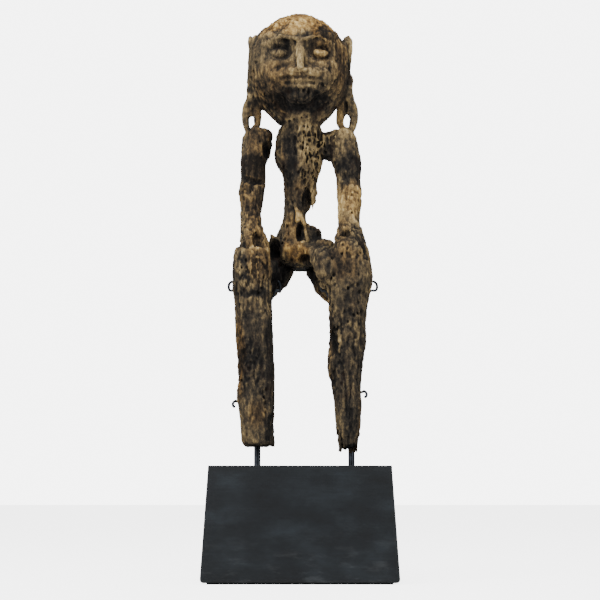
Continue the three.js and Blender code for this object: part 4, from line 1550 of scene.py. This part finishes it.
@dataclass
class DisplayStand:
    """The block, its felt, the two rods and the wires that hold the legs, and their fixings."""

    block_side_inset_mm: float = 11.0
    block_front_inset_mm: float = 9.0
    rod_seat_mm: float = 90.0
    wire_mm: float = 4.0
    outer_bow_mm: float = 7.0
    inner_bow_mm: float = 4.0
    bow_height_mm: float = 20.0
    arm_rise_mm: float = 24.0
    thigh_axis_mm: float = 275.0
    hook_bow_mm: float = 4.0
    hook_bow_height_mm: float = 10.0
    hook_reach_mm: float = 6.0
    hook_weld_mm: float = 5.6

    BOW = ((0.0, 1.0), (0.75, 0.82), (1.0, 0.55), (0.7, 0.25))
    HOOK_BOW = ((0.7, 3.0, 0.2), (1.0, 5.0, 0.55), (0.7, 6.0, 0.85), (0.0, 6.0, 1.0))

    def build(self) -> None:
        """Builds every piece of the stand."""
        steel = BlackenedSteel("blackened_steel", 0.38, 0.85).build()
        zinc = ZincPlatedSteel("zinc_plated_steel", 0.35, 1.0).build()
        felt = PressedFelt("pressed_felt", 1.0).build()
        low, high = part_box("base_block")
        ebony = EbonisedWood(
            "ebonised_wood",
            0.5,
            half_low=(high.x, high.y),
            half_high=(
                high.x - self.block_side_inset_mm * MM,
                high.y - self.block_front_inset_mm * MM,
            ),
            low_z=low.z,
            high_z=high.z,
        ).build()
        SoftenedPiece("base_block", Slot.BLOCK, ebony, 1.3, 4).build()
        SoftenedPiece("base_felt", Slot.FELT, felt, 0.5).build()
        for side in ("left", "right"):
            seat = high.z - self.rod_seat_mm * MM
            DisplayRod("rod_" + side, "cradle_" + side, steel, seat).build()
            BentWire("cradle_" + side, self.cradle_path(side), steel).build()
            BentWire("hook_" + side, self.hook_path(side), steel).build()
            SoftenedPiece("washer_" + side, Slot.ZINC, zinc, 0.3).build()
            SoftenedPiece("nut_" + side, Slot.ZINC, zinc, 0.5).build()

    def cradle_path(self, side: str) -> list[Place]:
        """The middle of the wire that goes under a thigh, in millimetres.

        Args:
            side: Left or right.

        Returns:
            Its points from the left prong's tip to the right one's.
        """
        low, high = (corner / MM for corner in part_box("cradle_" + side))
        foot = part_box("carved_figure")[0].z / MM
        bows = [self.outer_bow_mm, self.inner_bow_mm]
        if side == "right":
            bows.reverse()
        wide = (high.x - low.x - self.wire_mm - sum(bows)) / 2
        middle_x = low.x + self.wire_mm / 2 + bows[0] + wide
        middle_y = (low.y + high.y) / 2
        bottom = low.z + self.wire_mm / 2
        axis = foot + self.thigh_axis_mm
        start = bottom + self.arm_rise_mm
        path = [
            (middle_x - wide - out * bows[0], middle_y, start + up * self.bow_height_mm)
            for out, up in self.BOW
        ]
        for degrees in range(205, 336, 10):
            angle = math.radians(degrees)
            height = axis + (axis - bottom) * math.sin(angle)
            path.append((middle_x + wide * math.cos(angle), middle_y, height))
        path += [
            (middle_x + wide + out * bows[1], middle_y, start + up * self.bow_height_mm)
            for out, up in reversed(self.BOW)
        ]
        return path

    def hook_path(self, side: str) -> list[Place]:
        """The middle of the wire that goes round a shin, in millimetres.

        Args:
            side: Left or right.

        Returns:
            Its points from the rod to the tip.
        """
        low, high = (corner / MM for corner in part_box("hook_" + side))
        rod_low, rod_high = (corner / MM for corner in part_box("rod_" + side))
        rod = (rod_low + rod_high) / 2
        out = -1 if side == "left" else 1
        edge = low.x if side == "left" else high.x
        outer_x = edge - out * (self.hook_bow_mm + self.wire_mm / 2)
        front_y = low.y + self.wire_mm / 2 + self.hook_reach_mm
        level = high.z - self.wire_mm / 2
        start_x = rod.x + out * self.hook_weld_mm
        path = []
        for degrees in range(90, -1, -15):
            angle = math.radians(degrees)
            x = start_x + (outer_x - start_x) * math.cos(angle)
            path.append((x, front_y + (rod.y - front_y) * math.sin(angle), level))
        for share, forward, down in self.HOOK_BOW:
            x = outer_x + out * share * self.hook_bow_mm
            path.append((x, front_y - forward, level - down * self.hook_bow_height_mm))
        return path


# ---------------------------------------------------------------------------------------
# Studio
# ---------------------------------------------------------------------------------------


@dataclass
class Studio:
    """A pale floor, soft light, and a camera in front, low down and tipped up a little."""

    camera_distance: float = 2.367
    camera_height: float = 0.1405
    camera_tilt_deg: float = 7.22
    lens_mm: float = 90.0
    backdrop_strength: float = 6.0
    ambient_strength: float = 0.45
    sensor_mm: float = 36.0
    sight: float = 50.0
    floor_half: float = 12.0

    # Each soft box's name, place, size and power, and what they all face.
    BOXES = (
        ("box_above", (-0.2, -0.9, 2.6), 1.3, 58.0),
        ("box_left", (-1.9, -1.7, 1.4), 1.0, 30.0),
        ("box_right", (1.9, -1.9, 1.2), 1.0, 18.0),
    )
    LIT_PLACE = (0.0, 0.0, 0.5)

    def build(self) -> None:
        """Makes the floor, the light and the camera."""
        self.build_floor()
        self.build_light()
        camera = bpy.data.cameras.new("camera")
        camera.lens = self.lens_mm
        camera.sensor_width = self.sensor_mm
        camera.clip_end = self.sight
        holder = put_in_scene("camera", camera)
        holder.location = (0.0, -self.camera_distance, self.camera_height)
        holder.rotation_euler = (math.radians(90 + self.camera_tilt_deg), 0, 0)
        bpy.context.scene.camera = holder

    def build_floor(self) -> None:
        """Makes the floor."""
        half = self.floor_half
        mesh = bpy.data.meshes.new("floor")
        corners = [(-half, -half, 0), (half, -half, 0), (half, half, 0), (-half, half, 0)]
        mesh.from_pydata(corners, [], [(0, 1, 2, 3)])
        mesh.materials.append(StudioPaper("studio_paper", 0.9).build())
        put_in_scene("floor", mesh)

    def build_light(self) -> None:
        """Makes a bright even surround, and soft boxes above, at the left and in front."""
        world = bpy.data.worlds.new("studio")
        bpy.context.scene.world = world
        world.use_nodes = True
        tree = world.node_tree
        seen = add_node(tree, "ShaderNodeLightPath").outputs["Is Camera Ray"]
        gain = self.backdrop_strength - self.ambient_strength
        strength = add_node(
            tree,
            "ShaderNodeMath",
            {"operation": "MULTIPLY_ADD"},
            {0: seen, 1: gain, 2: self.ambient_strength},
        )
        background = tree.nodes["Background"]
        background.inputs["Color"].default_value = (1, 1, 1, 1)
        tree.links.new(strength.outputs[0], background.inputs["Strength"])
        for name, place, size, power in self.BOXES:
            light = bpy.data.lights.new(name, "AREA")
            light.size = size
            light.energy = power
            holder = put_in_scene(name, light)
            holder.location = place
            aim = Vector(self.LIT_PLACE) - Vector(place)
            holder.rotation_euler = aim.to_track_quat("-Z", "Y").to_euler()


def main() -> None:
    """Builds the figure, the stand and the studio."""
    logging.basicConfig(level=logging.INFO, format="%(name)s %(message)s")
    AncestorCarving(material=WeatheredIronwood("weathered_ironwood", 0.9).build()).build()
    DisplayStand().build()
    Studio().build()


if __name__ == "__main__":
    main()
